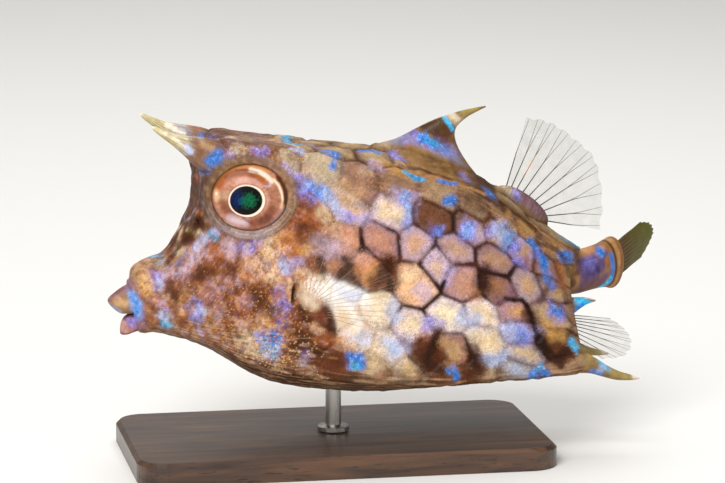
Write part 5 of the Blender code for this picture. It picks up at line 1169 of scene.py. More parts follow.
# Marks of the smaller forms, in the same way as those of the skin.
PART_MARKS = {
    # On the left horn the first brown stroke, over its lower part, is a painted shade.
    "horn_left": """
brown .7 1.2 -34.9,22.4 -34.3,20.4
brown .5 .8 -32.4,22.6 -30.6,21.9
brown .6 .8 -35.9,19.3 -34.7,17.3
tan .45 .7 -33.4,22.0 -31.6,21.2
azure .85 1.6 -31.6,18.6 -30.5,19.6
powder .9 .6 -36.6,21.6 -35.8,20.6
ivory .5 .45 -39.3,23.5 -37.0,21.6
ivory .6 .35 -41.7,24.7 -38.2,22.9
ivory .5 .3 -40.9,24.5 -36.6,23.0
olive .4 .3 -40.1,24.1 -35.8,22.4""",
    "horn_right": """
ivory .85 .55 -38.1,23.4 -37.0,22.8 -34.9,21.9
slate .5 .5 -35.7,22.8 -33.7,22.1
azure .85 .8 -31.5,21.2 -30.1,20.8 -28.5,20.6
cyan .9 .5 -30.3,20.8 -29.3,20.6
rust .5 .5 -33.7,23.1 -31.3,22.4""",
    "thorn": """
slate .7 1.6 5.4,19.4 7.4,20.1
brown .6 2 10.0,23.1 13.1,24.2
black .75 2.2 12.7,22.6 15.1,23.1 16.7,22.1
maroon .4 1.6 16.8,20.1 17.6,21.3
violet .6 1.7 9.4,21.1 11.9,20.0 15.9,18.5 17.6,17.3
azure .9 1.15 11.9,20.9 13.2,20.2 14.6,19.4
slate .5 1.2 15.4,18.9 16.9,17.9
umber .55 1.3 14.6,20.9 16.2,19.9
azure .4 .9 15.4,18.9 16.9,17.9
cyan .45 .6 12.8,20.5 14.6,19.6
slate .8 .35 8.6,22.1 9.4,20.3 11.1,18.8 13.1,18.2 15.1,17.1 17.2,16.7 18.8,17.2
rust .7 1.6 9.4,18.3 11.9,17.0 14.3,15.7 16.4,14.5
olive .6 1.4 10.3,18.1 13.1,17.0 15.1,15.7
maroon .5 .9 11.1,15.8 15.1,14.1 17.6,12.8
umber .5 1.2 17.6,15.2 19.2,14.0
violet .8 1.1 19.8,13.2 20.5,12.5
slate .6 1.2 18.8,15.6 20.0,14.4
putty .85 1.1 17.3,25.3 18.4,24.6 19.4,23.7
ivory .35 .6 18.2,25.2 19.2,24.2
cyan .85 .5 16.6,24.6 17.4,23.5 18.1,22.3
olive .8 1 20.6,25.8 21.6,25.9 22.8,26.6
tan .8 .35 2.6,20.0 4.6,20.4 7.8,21.6 11.1,23.3 14.3,24.6 16.7,25.4
olive .75 .45 18.6,21.2 19.4,19.6 20.4,17.2 22.1,15.1 24.5,12.6 26.2,10.5""",
    "spine": """
umber .3 .7 44.1,-24.6 47.4,-26.6
olive .6 .5 42.0,-20.9 43.6,-22.2 45.7,-23.3
gold .5 .25 42.6,-21.0 44.2,-22.3 46.2,-23.3
cyan .7 .7 46.1,-23.9 47.8,-25.2
azure .7 .8 44.5,-25.7 46.2,-26.2
powder .4 .7 47.0,-24.1 45.7,-25.5
olive .8 1 48.6,-25.6 50.7,-26.5 52.4,-27.0
olive .7 .5 47.4,-23.7 49.9,-24.9 52.4,-26.4
ivory .7 .8 53.2,-26.8 54.0,-27.3
powder .5 .4 54.0,-27.5 54.5,-27.3""",
    "stalk": """
sepia .7 .7 43.4,-7.3
sepia .4 .5 48.6,-7.5
azure 1 .95 49.6,-4.0
violet .4 1.2 45.9,-5.8 47.4,-5.4
brown .6 1.0 45.5,-11.0 48.4,-9.9
cyan .9 .6 49.6,-11.6 50.8,-11.0 51.9,-9.8""",
    "flap": """
cyan 1 1.2 42.9,-12.2 44.6,-12.9
azure .8 .9 42.1,-14.2 43.3,-13.5
maroon .7 .4 45.0,-11.9 46.2,-12.3
ivory .5 .3 44.5,-11.7 46.6,-12.2""",
    "lobe": """
putty .9 1.9 27.6,8.6 28.8,8.2 29.4,9.0
ivory .4 .9 28.0,9.6 29.0,9.0
violet .7 1.0 30.9,8.9 31.0,7.2
azure .5 .6 31.2,8.0
mauve .5 2.0 33.0,6.2 34.4,4.8
brown .5 1.0 34.8,3.1 36.4,2.3
sand .4 .7 33.0,4.0 35.5,2.0""",
    # On the pads the ivory middle of the first and the cream spot of the second are partly their own pale
    # colour and partly a painted highlight.
    "pad": """
ivory .4 1.3 -14.1,-8.1 -12.8,-9.6
brown .5 .9 -11.2,-11.4 -10.7,-12.4
cream .7 .9 -12.5,-14.5
rust .4 .7 -11.0,-13.7 -11.0,-15.4""",
    # In the lips' marks the maroon line across the top of the lower lip is a painted shadow under the upper
    # lip.
    "lips": """
mauve .7 .7 -51.0,-9.5 -49.8,-8.6 -48.4,-7.8 -47.2,-7.2
maroon .45 .4 -50.4,-9.0 -48.9,-7.9 -47.6,-7.3
peach .5 .9 -49.8,-10.2 -48.4,-10.4
brown .4 .5 -51.2,-10.2 -50.6,-10.4
slate .8 .6 -50.9,-11.0 -49.9,-12.0 -48.8,-12.7
powder .4 .4 -50.2,-11.4 -49.0,-12.3
maroon .6 .6 -48.2,-13.6 -46.8,-13.5
violet .6 .8 -47.2,-14.0 -46.2,-14.8
pink .6 .8 -48.5,-14.9 -48.2,-16.2
maroon .35 .4 -48.6,-16.9 -47.2,-17.0""",
    "snout": """
mauve .7 1.0 -46.3,-14.2 -45.4,-14.8
mauve .7 1.6 -47.3,-7.0 -46.4,-9.0 -45.9,-11.4 -46.4,-13.5
sky .95 1.0 -47.0,-8.6 -46.4,-9.7
sky .95 1.35 -46.3,-10.2 -46.2,-12.2
azure .45 .8 -46.4,-10.0 -46.2,-11.8
powder .5 .5 -47.0,-10.6 -46.9,-11.8
violet .7 .8 -46.4,-13.4 -46.9,-13.9""",
    # In the eye's marks the ivory arc over the upper rear, the peach spot with its ivory dot at the front,
    # the thin ivory arcs low at the front and along the rear edge, the short powder stroke and the cyan dot
    # low at the rear are painted highlights; the black crescent along the rear edge is a painted shadow.
    "eye": """
orange .75 .9 -6.8,1.9 -6.3,3.2 -5.0,4.9 -3.0,6.0 -0.6,6.5 1.7,6.4 3.4,5.7
gold .5 .5 -6.2,3.5 -4.8,4.8 -2.9,5.8
rust .95 .95 -6.0,2.5 -5.3,3.4 -4.1,4.3 -2.5,4.8 -0.5,5.0 0.8,4.4 2.3,3.4
maroon .5 .45 -4.6,4.0 -2.5,4.7 -0.5,4.8 1.0,4.2
rust .3 1.2 -5.5,1.4 -3.9,2.6
pink .6 .6 -2.2,3.1 -0.8,3.4 0.9,3.1 1.9,2.3
ivory .75 .5 0.2,5.4 2.0,4.9 3.3,4.1 4.3,3.1
rust .55 .4 1.2,4.4 2.6,3.3 3.4,2.3
peach .7 .7 -6.7,1.0 -6.4,-0.2
ivory .8 .28 -6.5,0.8
putty .35 .9 -5.4,0.0 -4.4,0.6
brown .7 1.0 -5.4,-1.0 -4.6,-2.3 -3.6,-3.3
maroon .45 .7 -4.9,-1.6 -4.0,-2.8
lilac .7 .9 -3.9,-4.0 -2.2,-4.8 -0.9,-4.9
ivory .25 .45 -3.4,-4.3 -1.5,-4.9
ivory .6 .16 -5.0,-4.5 -4.2,-5.1 -3.2,-5.5
maroon .6 .3 -1.3,-4.0 -0.6,-4.5 0.3,-5.0
maroon .75 1.2 0.9,-5.0 2.6,-4.6 3.6,-3.6 4.1,-2.9
sepia .4 .7 2.4,-4.6 3.6,-3.7
brown .45 1.2 4.6,1.0 4.8,-0.6 4.4,-2.0
pink .5 .7 2.8,-1.6 3.2,-0.4
powder .5 .16 3.0,2.1 3.8,2.2 4.2,2.8
peach .9 .3 4.6,3.5 5.6,2.3 6.2,0.8 6.4,-0.8 6.1,-2.0
ivory .6 .2 4.7,3.4 5.7,2.2 6.2,0.8 6.4,-0.6
black .95 .4 5.4,4.0 6.2,2.8 6.8,1.6 7.0,0.2 6.9,-1.3
cyan .85 .26 6.6,-2.3 6.8,-2.7
slate .5 .35 6.1,-3.2 5.2,-4.3 4.0,-5.3
umber .5 .2 -2.8,5.3 -0.4,5.4 1.6,4.8
""",
}


# Marks round the mouth are tighter and less stippled than the flank's: wobble, seed and spread.
SNOUT_TOUCH = (0.1, 7, 0.08)


def part_paint(points, base, marks, mottle=0.08):
    """One ground colour with a form's marks over it, seen from the side."""
    flat = points[:, [0, 2]]
    paint = np.tile(linear(base), (len(points), 1)) if isinstance(base, str) else base
    brush(flat, paint, read_marks(PART_MARKS[marks]))
    return np.clip(paint * (1 + mottle * ripple(points, 0.9, 51))[:, None], 0, 1)


def rear_rings(w):
    """Rings from the carapace's hooded rim over its rear wall to the root of the tail."""
    rim = body_point(RIM_T, w)
    edge = rim + (0.45, 0, 0)
    edge = edge + (np.array([40.8, 0, -9.0]) - edge) * (0, 0.05, 0.035)
    turn = w / (GIRTH / 2) * math.pi
    wall = np.stack([np.full_like(turn, 40.7), 4.9 * np.sin(turn), STALK_Z + 5.2 * np.cos(turn)], -1)
    inner = edge * 0.5 + wall * 0.5
    inner[:, 0] = np.minimum(inner[:, 0], 41.4)
    return edge, inner, wall


def stalk_paint(p, s, turn):
    """Orange-brown root, lavender middle with fine upright lines, rim of orange and dark arcs. The root, more
    so underneath, and the whole underside are painted darker, a painted shade.
    """
    paint = np.tile(linear("A97C50"), (len(p), 1))
    rough = ripple(p, 2.0, 61) * 0.04
    upper = np.cos(turn)
    lines = 0.5 + 0.5 * np.sin(s * 95 + ripple(p, 3.0, 62))
    azure_band = smooth(0.555, 0.58, s) * smooth(0.645, 0.62, s)
    for code, weight in (
            ("54406A", smooth(0.12, 0.26, s + rough) * smooth(0.58, 0.44, s + rough) * 0.85),
            ("3E3878", smooth(0.18, 0.3, s) * smooth(0.5, 0.38, s)
             * smooth(0.8, 0.3, np.abs(upper - 0.4)) * 0.7),
            ("4A3648", smooth(0.16, 0.3, s) * smooth(0.5, 0.4, s) * lines * 0.4),
            # Painted shade: darker at the root, more so underneath, and darker along the underside.
            ("5E3C26", smooth(0.16, 0.05, s + rough) * (0.4 + 0.5 * smooth(0.3, -0.3, upper))),
            ("B8824A", smooth(0.6, 0.95, upper) * smooth(0.0, 0.15, s) * smooth(0.98, 0.7, s) * 0.85),
            ("5A4030", smooth(-0.4, -0.9, upper) * smooth(0.0, 0.15, s) * 0.7),
            ("84562C", smooth(0.48, 0.56, s + rough) * 0.8),
            ("azure", azure_band * smooth(0.8, 0.6, np.abs(upper + 0.1)) * 0.85),
            ("3A2010", smooth(0.635, 0.65, s) * smooth(0.69, 0.67, s) * 0.8),
            ("B08858", smooth(0.69, 0.71, s) * smooth(0.8, 0.76, s) * 0.75)):
        blend(paint, code, weight)
    return paint


def whole_skin(attached):
    """Head, carapace, rear wall and tail stalk as one skin."""
    snout_t = 4.4
    t_rows = np.concatenate([np.linspace(0, snout_t, 40),
                             np.arange(snout_t + SKIN_STEP, RIM_T - 0.05, SKIN_STEP), [RIM_T]])
    w_row = (np.arange(COLUMNS) / COLUMNS - 0.5) * GIRTH
    t, w = (a.ravel() for a in np.meshgrid(t_rows, w_row, indexing="ij"))
    p = body_point(t, w)
    outward = body_normal(t, w)
    middles, kinds = plate_middles()
    plates = plates_at(t, w, middles)
    marks = flank_marks(p[np.flatnonzero((w < 2) & (w > -64))[::3]])
    paint, dots = skin_paint(p, t, w, plates, kinds, marks)
    side = np.column_stack([p[:, 0], -np.abs(p[:, 1]), p[:, 2]])
    gold, bright = tubercles(side, w)
    blend(paint, "C08236", gold * 0.85)
    blend(paint, "F4D898", gold * bright * 0.75)
    calm = (1 - 0.9 * thorn_foot(side, w)) * (1 - 0.75 * smooth(48, 52, np.abs(w)))
    calm *= 1 - 0.5 * np.exp(-((np.abs(w) - 12.5) / 2.2)**2)
    relief = skin_relief(t, plates[2]) * calm + 0.035 * ripple(p, 1.3, 71)
    relief = relief + 0.05 * ripple(p, 3.5, 72) + 0.1 * gold
    # Scalloped edges of the plates along the four ridges.
    lower, upper = (np.abs(np.abs(w) - ROUND[k]) for k in (4, 1))
    ridge = np.maximum(smooth(3.0, 0.4, lower), 0.7 * smooth(2.6, 0.4, upper))
    relief += 0.3 * ridge * smooth(0.3, 2.6, plates[2]) * smooth(34, 40, t)
    # Gill slits and nostrils: x, z, half-height, half-width, depth, lean.
    for x, z, tall, wide, deep, lean in ((-16.4, -7.5, 1.9, 0.38, 1.2, 0.14),
                                         (-34.4, 6.2, 0.5, 0.42, 0.8, 0.0)):
        high = side[:, 2] - z
        off = side[:, 0] - x - lean * high
        pit = smooth(1.25, 0.55, np.hypot(off / wide, high / tall)) * (np.abs(w) > 8) * (np.abs(w) < 56)
        relief -= deep * pit
        # The pits are painted black, a painted shade in the openings.
        blend(paint, "black", pit * 0.85)
    p += outward * relief[:, None]
    for points, reach in attached:
        swell(p, outward, points, reach)
    for _, eye_side in SIDES:
        ring_paint(p, paint, eye_side)
    face = np.flatnonzero(t < 5)
    share = paint[face]
    brush(side[face][:, [0, 2]], share, read_marks(PART_MARKS["snout"]), *SNOUT_TOUCH)
    paint[face] = share
    set_sockets(p)
    rings, paints = list(p.reshape(-1, COLUMNS, 3)), list(paint.reshape(-1, COLUMNS, 3))
    dots = list(dots.reshape(-1, COLUMNS))
    # The snout's end rounds inward to the lips and closes behind them; the rings inside are painted dark
    # maroon, a painted shade in the mouth.
    mouth, first = np.array([-46.0, 0, -11.2]), rings[0]
    for turned_in in np.linspace(0.06, 1.0, 16):
        inside = 1 - 0.42 * (1 - math.cos(turned_in * math.pi / 2)) - 0.12 * turned_in**4
        ring = mouth + (first - mouth) * inside - (0.75 * math.sin(turned_in * math.pi / 2), 0, 0)
        shade = paints[-len(t_rows)].copy()
        brush(ring[:, [0, 2]], shade, read_marks(PART_MARKS["snout"]), *SNOUT_TOUCH)
        blend(shade, "maroon", np.full(COLUMNS, 0.7 * smooth(0.8, 1.0, turned_in)))
        rings.insert(0, ring)
        paints.insert(0, shade)
        dots.insert(0, dots[-1] * 0 + 0.2)
    for inside, deep in ((0.4, 0.3), (0.2, 1.0)):
        rings.insert(0, mouth + (first - mouth) * inside + (deep, 0, 0))
        paints.insert(0, np.tile(linear(PALETTE["maroon"]) * 0.5, (COLUMNS, 1)))
        dots.insert(0, np.zeros(COLUMNS))
    # Over the rim, down the rear wall and out along the tail stalk.
    turn = w_row / (GIRTH / 2) * math.pi
    stalk_rows, wall_rows = 84, 30
    stalk = tube_rings(STALK, stalk_rows, -turn)
    control = np.stack([rings[-1], *rear_rings(w_row), stalk[2]]).reshape(5, -1)
    down = curve_through(control, wall_rows).reshape(wall_rows, COLUMNS, 3)
    rim_paint = paints[-1]
    for k, ring in enumerate(down[1:-1]):
        share = (k + 1) / (wall_rows - 1)
        ground = rim_paint + (linear("7A5234") - rim_paint) * smooth(0.05, 0.5, share)
        rings.append(ring)
        paints.append(ground + (linear("A97C50") - ground) * smooth(0.6, 1.0, share))
        dots.append(np.full(COLUMNS, 0.3))
    for k, ring in enumerate(stalk[2:]):
        rings.append(ring)
        share = np.full(COLUMNS, (k + 2) / (stalk_rows - 1))
        paints.append(part_paint(ring, stalk_paint(ring, share, turn), "stalk"))
        dots.append(np.full(COLUMNS, 0.25))
    end = stalk[-1].mean(0)
    for inside, deep in ((0.7, -0.2), (0.35, -0.35)):
        rings.append(end + (stalk[-1] - end) * inside + (deep, deep, 0))
        paints.append(paints[-1])
        dots.append(dots[-1])
    points, faces = rings_shape(rings)
    paint = np.concatenate([*paints, paints[0][:1], paints[-1][:1]])
    return points, faces, paint, np.concatenate([*dots, [0, 0]])


def lip_rings(rows, count, columns):
    """Rings of a lip, each bent back at its sides."""
    turn = around(columns)
    up, out = np.cos(turn), np.sin(turn)
    rings = []
    for x, top, bottom, wide in curve_through(rows, count):
        rings.append(np.stack([x + 0.075 * (out * wide)**2, out * wide,
                               (top + bottom) / 2 + np.sign(up) * np.abs(up)**0.8 * (top - bottom) / 2], 1))
    return np.array(rings)


def blade_rings(rows, count, columns):
    """Rings of a lens-shaped blade between its front and rear edge."""
    turn = around(columns)
    along, out = (1 - np.cos(turn)) / 2, np.sin(turn)
    out = np.sign(out) * np.abs(out)**1.3
    rings = []
    for x0, z0, x1, z1, wide in curve_through(rows, count):
        rings.append(np.stack([x0 + (x1 - x0) * along, out * wide, z0 + (z1 - z0) * along], 1))
    return np.array(rings)


def mirrored(rows, side):
    """A form's rows for one side of the fish."""
    return [(x, y * side, *rest) for x, y, *rest in rows]


def eye_paint(across, up):
    """Colours of the eye in its own plane: black pupil with a green sheen, cream ring, copper iris, with
    painted highlights and a painted shadow from its marks.
    """
    flat = np.column_stack([across, up])
    paint = np.tile(linear("B67E66"), (len(flat), 1))
    rim = np.hypot(across, up / EYE_SQUAT)
    threads = ripple(np.column_stack([np.arctan2(up, across) * 9, rim * 0.5]), 1.0, 81)
    paint *= (1 + 0.13 * threads + 0.08 * ripple(flat, 0.9, 82) + 0.07 * ripple(flat, 0.35, 83))[:, None]
    brush(flat, paint, read_marks(PART_MARKS["eye"]), 0.07, 6, 0.05)
    blend(paint, "6E4028", 0.55 * smooth(6.7, 7.3, rim))
    off_x, off_z = across + 0.75, up + 0.6
    far = np.hypot(off_x / 3.2, off_z / 2.86)
    lopsided = 1.075 + 0.075 * smooth(-0.5, 3, off_x - off_z * 0.4)
    blend(paint, "7A4A34", 0.5 * smooth(lopsided + 0.14, lopsided + 0.02, far))
    blend(paint, "F2DCC4", smooth(lopsided + 0.03, lopsided - 0.02, far))
    blend(paint, "020403", smooth(1.01, 0.97, far))
    glow = ripple(flat, 1.2, 84) * 0.1 + ripple(flat, 0.4, 85) * 0.12
    blend(paint, "0A6A44", smooth(1.0, 0.1, np.hypot((off_x - 0.4) / 2.5, off_z / 1.8) + glow) * 0.8)
    blend(paint, "0A2A70", smooth(1.3, 0.0, np.hypot((off_x + 1.7) / 1.5, (off_z - 0.2) / 2.0) + glow) * 0.5)
    return np.clip(paint, 0, 1)


def eye_piece(name, side, look):
    """A smooth domed eye set in its socket. Its profile's rows hold radius and height."""
    middle, axis, back, up = eye_place(side)
    rows = [(6.9, -2.9), (EYE_RADIUS, -1.4), (EYE_RADIUS, 0.1), (7.0, 0.75), (6.0, 1.25), (4.6, 1.65),
            (3.3, 1.9), (1.6, 2.08), (0.02, 2.12)]
    rows = curve_through(rows, 110)
    turn = around(120)
    ring = np.cos(turn)[:, None] * back + np.sin(turn)[:, None] * up * EYE_SQUAT
    rings = [middle + ring * r + axis * h for r, h in rows]
    across, high = (np.concatenate([np.outer(rows[:, 0], f(turn)).ravel(), [0, 0]])
                    for f in (np.cos, np.sin))
    high *= EYE_SQUAT
    points, faces = rings_shape(rings)
    paint = eye_paint(across, high)
    mounted(mesh_of("eye_" + name + "_dome", points, faces, look, paint), "eyes", "eye_" + name)


def fin_pieces(name, node, roots, tips, rays, ray_look, web_look, slot, thick=0.16, bow=(0, 0, 0),
               colours=("5A4030", "7A6450"), inward=0.8, dots=None):
    """Soft rays, each forked once, and the clear skin between them. There are four columns of skin
    to a ray, and the skin's outer edge dips between the rays."""
    count = 4 * rays + 1
    a, b = curve_through(roots, count), curve_through(tips, count)
    a = a - (b - a) / np.linalg.norm(b - a, axis=1, keepdims=True) * inward
    rows = 24
    s_rows = np.linspace(0, 1, rows)
    notch = 1 - 0.035 * (0.5 - 0.5 * np.cos(np.arange(count) / 4 * 2 * math.pi))

    def at(k, s):
        """A point of the fan at ray position k and share s of its length."""
        k = np.clip(k, 0, count - 1)
        i = min(int(k), count - 2)
        start, end = (c[i] + (c[i + 1] - c[i]) * (k - i) for c in (a, b))
        return start + (end - start) * s + np.array(bow) * (4 * s * (1 - s))

    shapes, shade = [], []
    turn = around(RAY_SIDES)
    for middle in range(0, count, 4):
        for fork in (0, -1, 1):
            s = np.linspace(0, 0.5, 14) if fork == 0 else np.linspace(0.42, 0.985, 18)
            drift = fork * 0.8 * smooth(0.4, 1.0, s)
            if 0 <= middle + drift[-1] <= count - 1:
                line = np.array([at(middle + d, v * notch[middle]) for d, v in zip(drift, s)])
                half = thick * (1 - 0.62 * s) * (0.75 if fork else 1.0)
                shapes.append(rings_shape(tube_rings(np.column_stack([line, half, half]), len(s), turn)))
                shade.append(np.concatenate([np.repeat(s, len(turn)), [0, 1]]))
    points, faces = joined(shapes)
    s = np.concatenate(shade)
    paint = np.tile(linear(colours[0]), (len(points), 1))
    blend(paint, colours[1], smooth(0.1, 0.9, s))
    blend(paint, "2A1C12", 0.35 * (0.5 + 0.5 * np.sin(s * 150)) * smooth(0.1, 0.3, s))
    if dots:
        brush(points[:, [0, 2]], paint, read_marks(dots))
    mounted(mesh_of(name + "_rays", points, faces, ray_look, paint), slot, node)

    grid = np.array([[at(k, s * notch[k]) for k in range(count)] for s in s_rows])
    across, along = np.gradient(grid, axis=1), np.gradient(grid, axis=0)
    normal = np.cross(along, across)
    normal /= np.linalg.norm(normal, axis=2, keepdims=True)
    normal *= FIN_SKIN_HALF
    sheet = np.concatenate([grid + normal, (grid - normal)[:, ::-1]], 1)
    j = np.arange(count - 1)
    ends = [np.stack([first + j, first + j + 1, first + 2 * count - 2 - j, first + 2 * count - 1 - j], -1)
            for first in (0, (rows - 1) * 2 * count)]
    faces = [grid_faces(rows, 2 * count), *ends]
    mounted(mesh_of(name + "_web", sheet.reshape(-1, 3), faces, web_look), slot, node)


# Materials.
def feed(made, inputs):
    """Give a node's inputs their values or links."""
    for key, value in inputs.items():
        if isinstance(value, bpy.types.NodeSocket):
            made.id_data.links.new(value, made.inputs[key])
        else:
            made.inputs[key].default_value = value


def node(tree, kind, inputs=None, **settings):
    """Add a node with its settings, and feed its inputs."""
    made = tree.nodes.new(kind)
    for key, value in settings.items():
        setattr(made, key, value)
    feed(made, inputs or {})
    return made


def new_look(name):
    """A new material, its tree, its shader, and places on the piece in metres."""
    look = bpy.data.materials.new(name)
    look.use_nodes = True
    tree = look.node_tree
    where = node(tree, "ShaderNodeTexCoord").outputs["Object"]
    return look, tree, tree.nodes["Principled BSDF"], where


def mixed(tree, share, a, b, kind="MIX"):
    """Two colours mixed by a share, each a socket or a colour."""
    inputs = {0: share, 6: a, 7: b}
    return node(tree, "ShaderNodeMix", inputs, data_type="RGBA", blend_type=kind).outputs[2]


def ramp(tree, value, low, high, to_low=0.0, to_high=1.0):
    """A value carried from one range to another."""
    inputs = {"Value": value, "From Min": low, "From Max": high, "To Min": to_low, "To Max": to_high}
    return node(tree, "ShaderNodeMapRange", inputs).outputs["Result"]


def noise(tree, where, scale, detail=2.0, **inputs):
    """Soft noise over places, as a value."""
    inputs = {"Vector": where, "Scale": scale, "Detail": detail, **inputs}
    return node(tree, "ShaderNodeTexNoise", inputs).outputs["Fac"]


def rgb(code):
    """sRGB hex to a linear colour for a socket."""
    return (*(float(v) for v in linear(code)), 1.0)


def fish_look(name, roughness, coat, grain_mm, bump_mm=0.05, dots=True, glow=0.03):
    """Living fish skin: thin clear slime over bone plates, fine pigment dots and grains in it. Real
    pigment cells are under 0.1 mm; here they are about 0.3 mm across, so that they show."""
    look, tree, shader, where = new_look(name)
    paint = node(tree, "ShaderNodeAttribute", attribute_name="paint").outputs["Color"]
    grains = {"Vector": where, "Scale": 1000 / grain_mm, "Randomness": 0.9}
    cells = node(tree, "ShaderNodeTexVoronoi", grains).outputs["Distance"]
    fine = noise(tree, where, 1000 / 0.3, 3.0)
    uneven = mixed(tree, ramp(tree, fine, 0.3, 0.7), (0.84, 0.84, 0.84, 1), (1.14, 1.14, 1.14, 1))
    colour = mixed(tree, 1.0, paint, uneven, "MULTIPLY")
    if dots:
        speck = node(tree, "ShaderNodeAttribute", attribute_name="speck").outputs["Fac"]
        spots = ramp(tree, cells, 0.34, 0.18)
        shown = node(tree, "ShaderNodeMath", {0: spots, 1: speck}, operation="MULTIPLY").outputs[0]
        colour = mixed(tree, shown, colour, mixed(tree, 1.0, colour, (0.42, 0.30, 0.22, 1), "MULTIPLY"))
    height = node(tree, "ShaderNodeMath", {0: cells, 1: fine}, operation="ADD").outputs[0]
    bump = {"Height": height, "Strength": 0.6, "Distance": bump_mm / 1000}
    feed(shader, {
        "Base Color": colour, "Normal": node(tree, "ShaderNodeBump", bump, invert=True).outputs["Normal"],
        "Roughness": ramp(tree, fine, 0.3, 0.7, roughness - 0.06, roughness + 0.08),
        "IOR": 1.4, "Specular IOR Level": 0.15, "Coat Weight": coat, "Coat Roughness": 0.22,
        "Subsurface Weight": glow, "Subsurface Radius": (1.0, 0.5, 0.3), "Subsurface Scale": 0.0006})
    return look


# Skin over bone plates looks matt with a breath of gloss, the thin skin of horns and thorn smoother,
# and the soft bone of the fin rays wet.
SKIN = fish_look("cowfish_skin", 0.54, 0.03, 0.32)
HORN_LOOK = fish_look("horn_bone", 0.42, 0.15, 0.35, 0.03, dots=False)
FIN_RAY = fish_look("fin_ray", 0.35, 0.2, 0.3, 0.02, dots=False)

# Eye: a wet, clear cornea over the painted iris, whose thin smooth coat gives one soft highlight.
EYE, tree, shader, _ = new_look("eye_cornea")
feed(shader, {"Base Color": node(tree, "ShaderNodeAttribute", attribute_name="paint").outputs["Color"],
              "Roughness": 0.45, "Specular IOR Level": 0.08, "Coat Weight": 0.13, "Coat Roughness": 0.08})

# Fin skin: clear and wet, seen mostly by its edges and its gloss.
FIN_WEB, tree, shader, where = new_look("fin_web")
film = noise(tree, where, 1000 / 2.5)
feed(shader, {"Base Color": mixed(tree, film, rgb("8E8478"), rgb("6E665C")),
              "Alpha": ramp(tree, film, 0.3, 0.7, 0.07, 0.13), "Roughness": 0.25})

# The pectoral fin's skin is clearer still.
PECTORAL_WEB, tree, shader, where = new_look("pectoral_web")
feed(shader, {"Base Color": rgb("E8D8C4"), "Alpha": 0.012, "Roughness": 0.3})

# Tail fin skin: the closed fin is dense, olive green.
TAIL_WEB, tree, shader, where = new_look("tail_web")
film = noise(tree, where, 1000 / 2.0)
outward = node(tree, "ShaderNodeSeparateXYZ", {"Vector": where}).outputs["X"]
outward = ramp(tree, outward, (TAIL_ROOT_X + SHIFT_X) / 1000, (TAIL_TIP_X + SHIFT_X) / 1000)
olive = mixed(tree, outward, rgb("5A3A12"), rgb("687020"))
feed(shader, {"Base Color": mixed(tree, film, olive, rgb("4E3E12")), "Alpha": 0.92,
              "Specular IOR Level": 0.2, "Roughness": 0.35})

# Stained walnut of the stand: long grain under satin varnish. Its grain is 2.4 mm wide and 25 mm
# long, and its pores a seventh of that, coarser than real so that they show.
WOOD, tree, shader, where = new_look("stained_walnut")
along = node(tree, "ShaderNodeMapping", {"Vector": where, "Scale": (40.0, 420.0, 420.0)}).outputs["Vector"]
grain = noise(tree, along, 1.0, 6.0, Distortion=0.6)
pores = noise(tree, along, 7.0)
board = mixed(tree, ramp(tree, grain, 0.35, 0.65), rgb("2C1A10"), rgb("5E3E26"))
board = mixed(tree, ramp(tree, pores, 0.62, 0.7), board, rgb("1A0E08"))
rise = node(tree, "ShaderNodeBump", {"Height": pores, "Strength": 0.25, "Distance": 0.00005})
feed(shader, {"Base Color": board, "Normal": rise.outputs["Normal"], "Roughness": 0.42,
              "Coat Weight": 0.4, "Coat Roughness": 0.25})

# Brushed stainless steel of the rod: scratches 0.1 mm wide and 3 mm long give soft streaky gloss.
STEEL, tree, shader, where = new_look("brushed_steel")
lines = node(tree, "ShaderNodeMapping", {"Vector": where, "Scale": (9000.0, 9000.0, 300.0)}).outputs["Vector"]
feed(shader, {"Base Color": rgb("B8B6B0"), "Metallic": 1.0,
              "Roughness": ramp(tree, noise(tree, lines, 1.0), 0.3, 0.7, 0.26, 0.4)})


# The fleshy forms that the skin swells to meet: rings, marks, ground colour, and how far the skin's
# own paint reaches over them.
flesh = {
    "upper_lip": (lip_rings(UPPER_LIP, 60, 96), "lips", "94724E", 1.0),
    "lower_lip": (lip_rings(LOWER_LIP, 50, 96), "lips", "9A6A66", 1.0),
    "dorsal_lobe": (tube_rings(LOBE, 60, around(72)), "lobe", "6E5452", 1.2),
    "anal_lobe": (tube_rings(ANAL_LOBE, 40, around(48)), "lobe", "96703E", 1.0),
}
for name, form, count, columns, marks, ground, reach in (
        ("pad_", PAD, 50, 60, "pad", "B28E70", 0.8),
        ("second_pad_", SECOND_PAD, 40, 48, "pad", "B88A70", 0.8),
        ("flap_", FLAP, 50, 48, "flap", "8A7860", 1.0)):
    for side_name, side in SIDES:
        rings = tube_rings(mirrored(form, side), count, around(columns))
        flesh[name + side_name] = (rings, marks, ground, reach)
bone = {
    "horn_left": tube_rings(mirrored(HORN, -1), 150, around(84), 14, 0.05),
    "horn_right": tube_rings(mirrored(HORN, 1), 150, around(84), 14, 0.05),
    "thorn": blade_rings(THORN, 150, 128),
    "spine_left": tube_rings(mirrored(SPINE, -1), 110, around(64), 12, 0.05),
    "spine_right": tube_rings(mirrored(SPINE, 1), 110, around(64), 12, 0.05),
}
# Every third point of a form is enough for the skin to find it.
attached = [(row[0].reshape(-1, 3)[::3], FLESH_FILLET) for row in flesh.values()]
attached += [(rings.reshape(-1, 3)[::3], BONE_FILLET) for rings in bone.values()]
skin_points, skin_faces, skin_colours, skin_dots = whole_skin(attached)

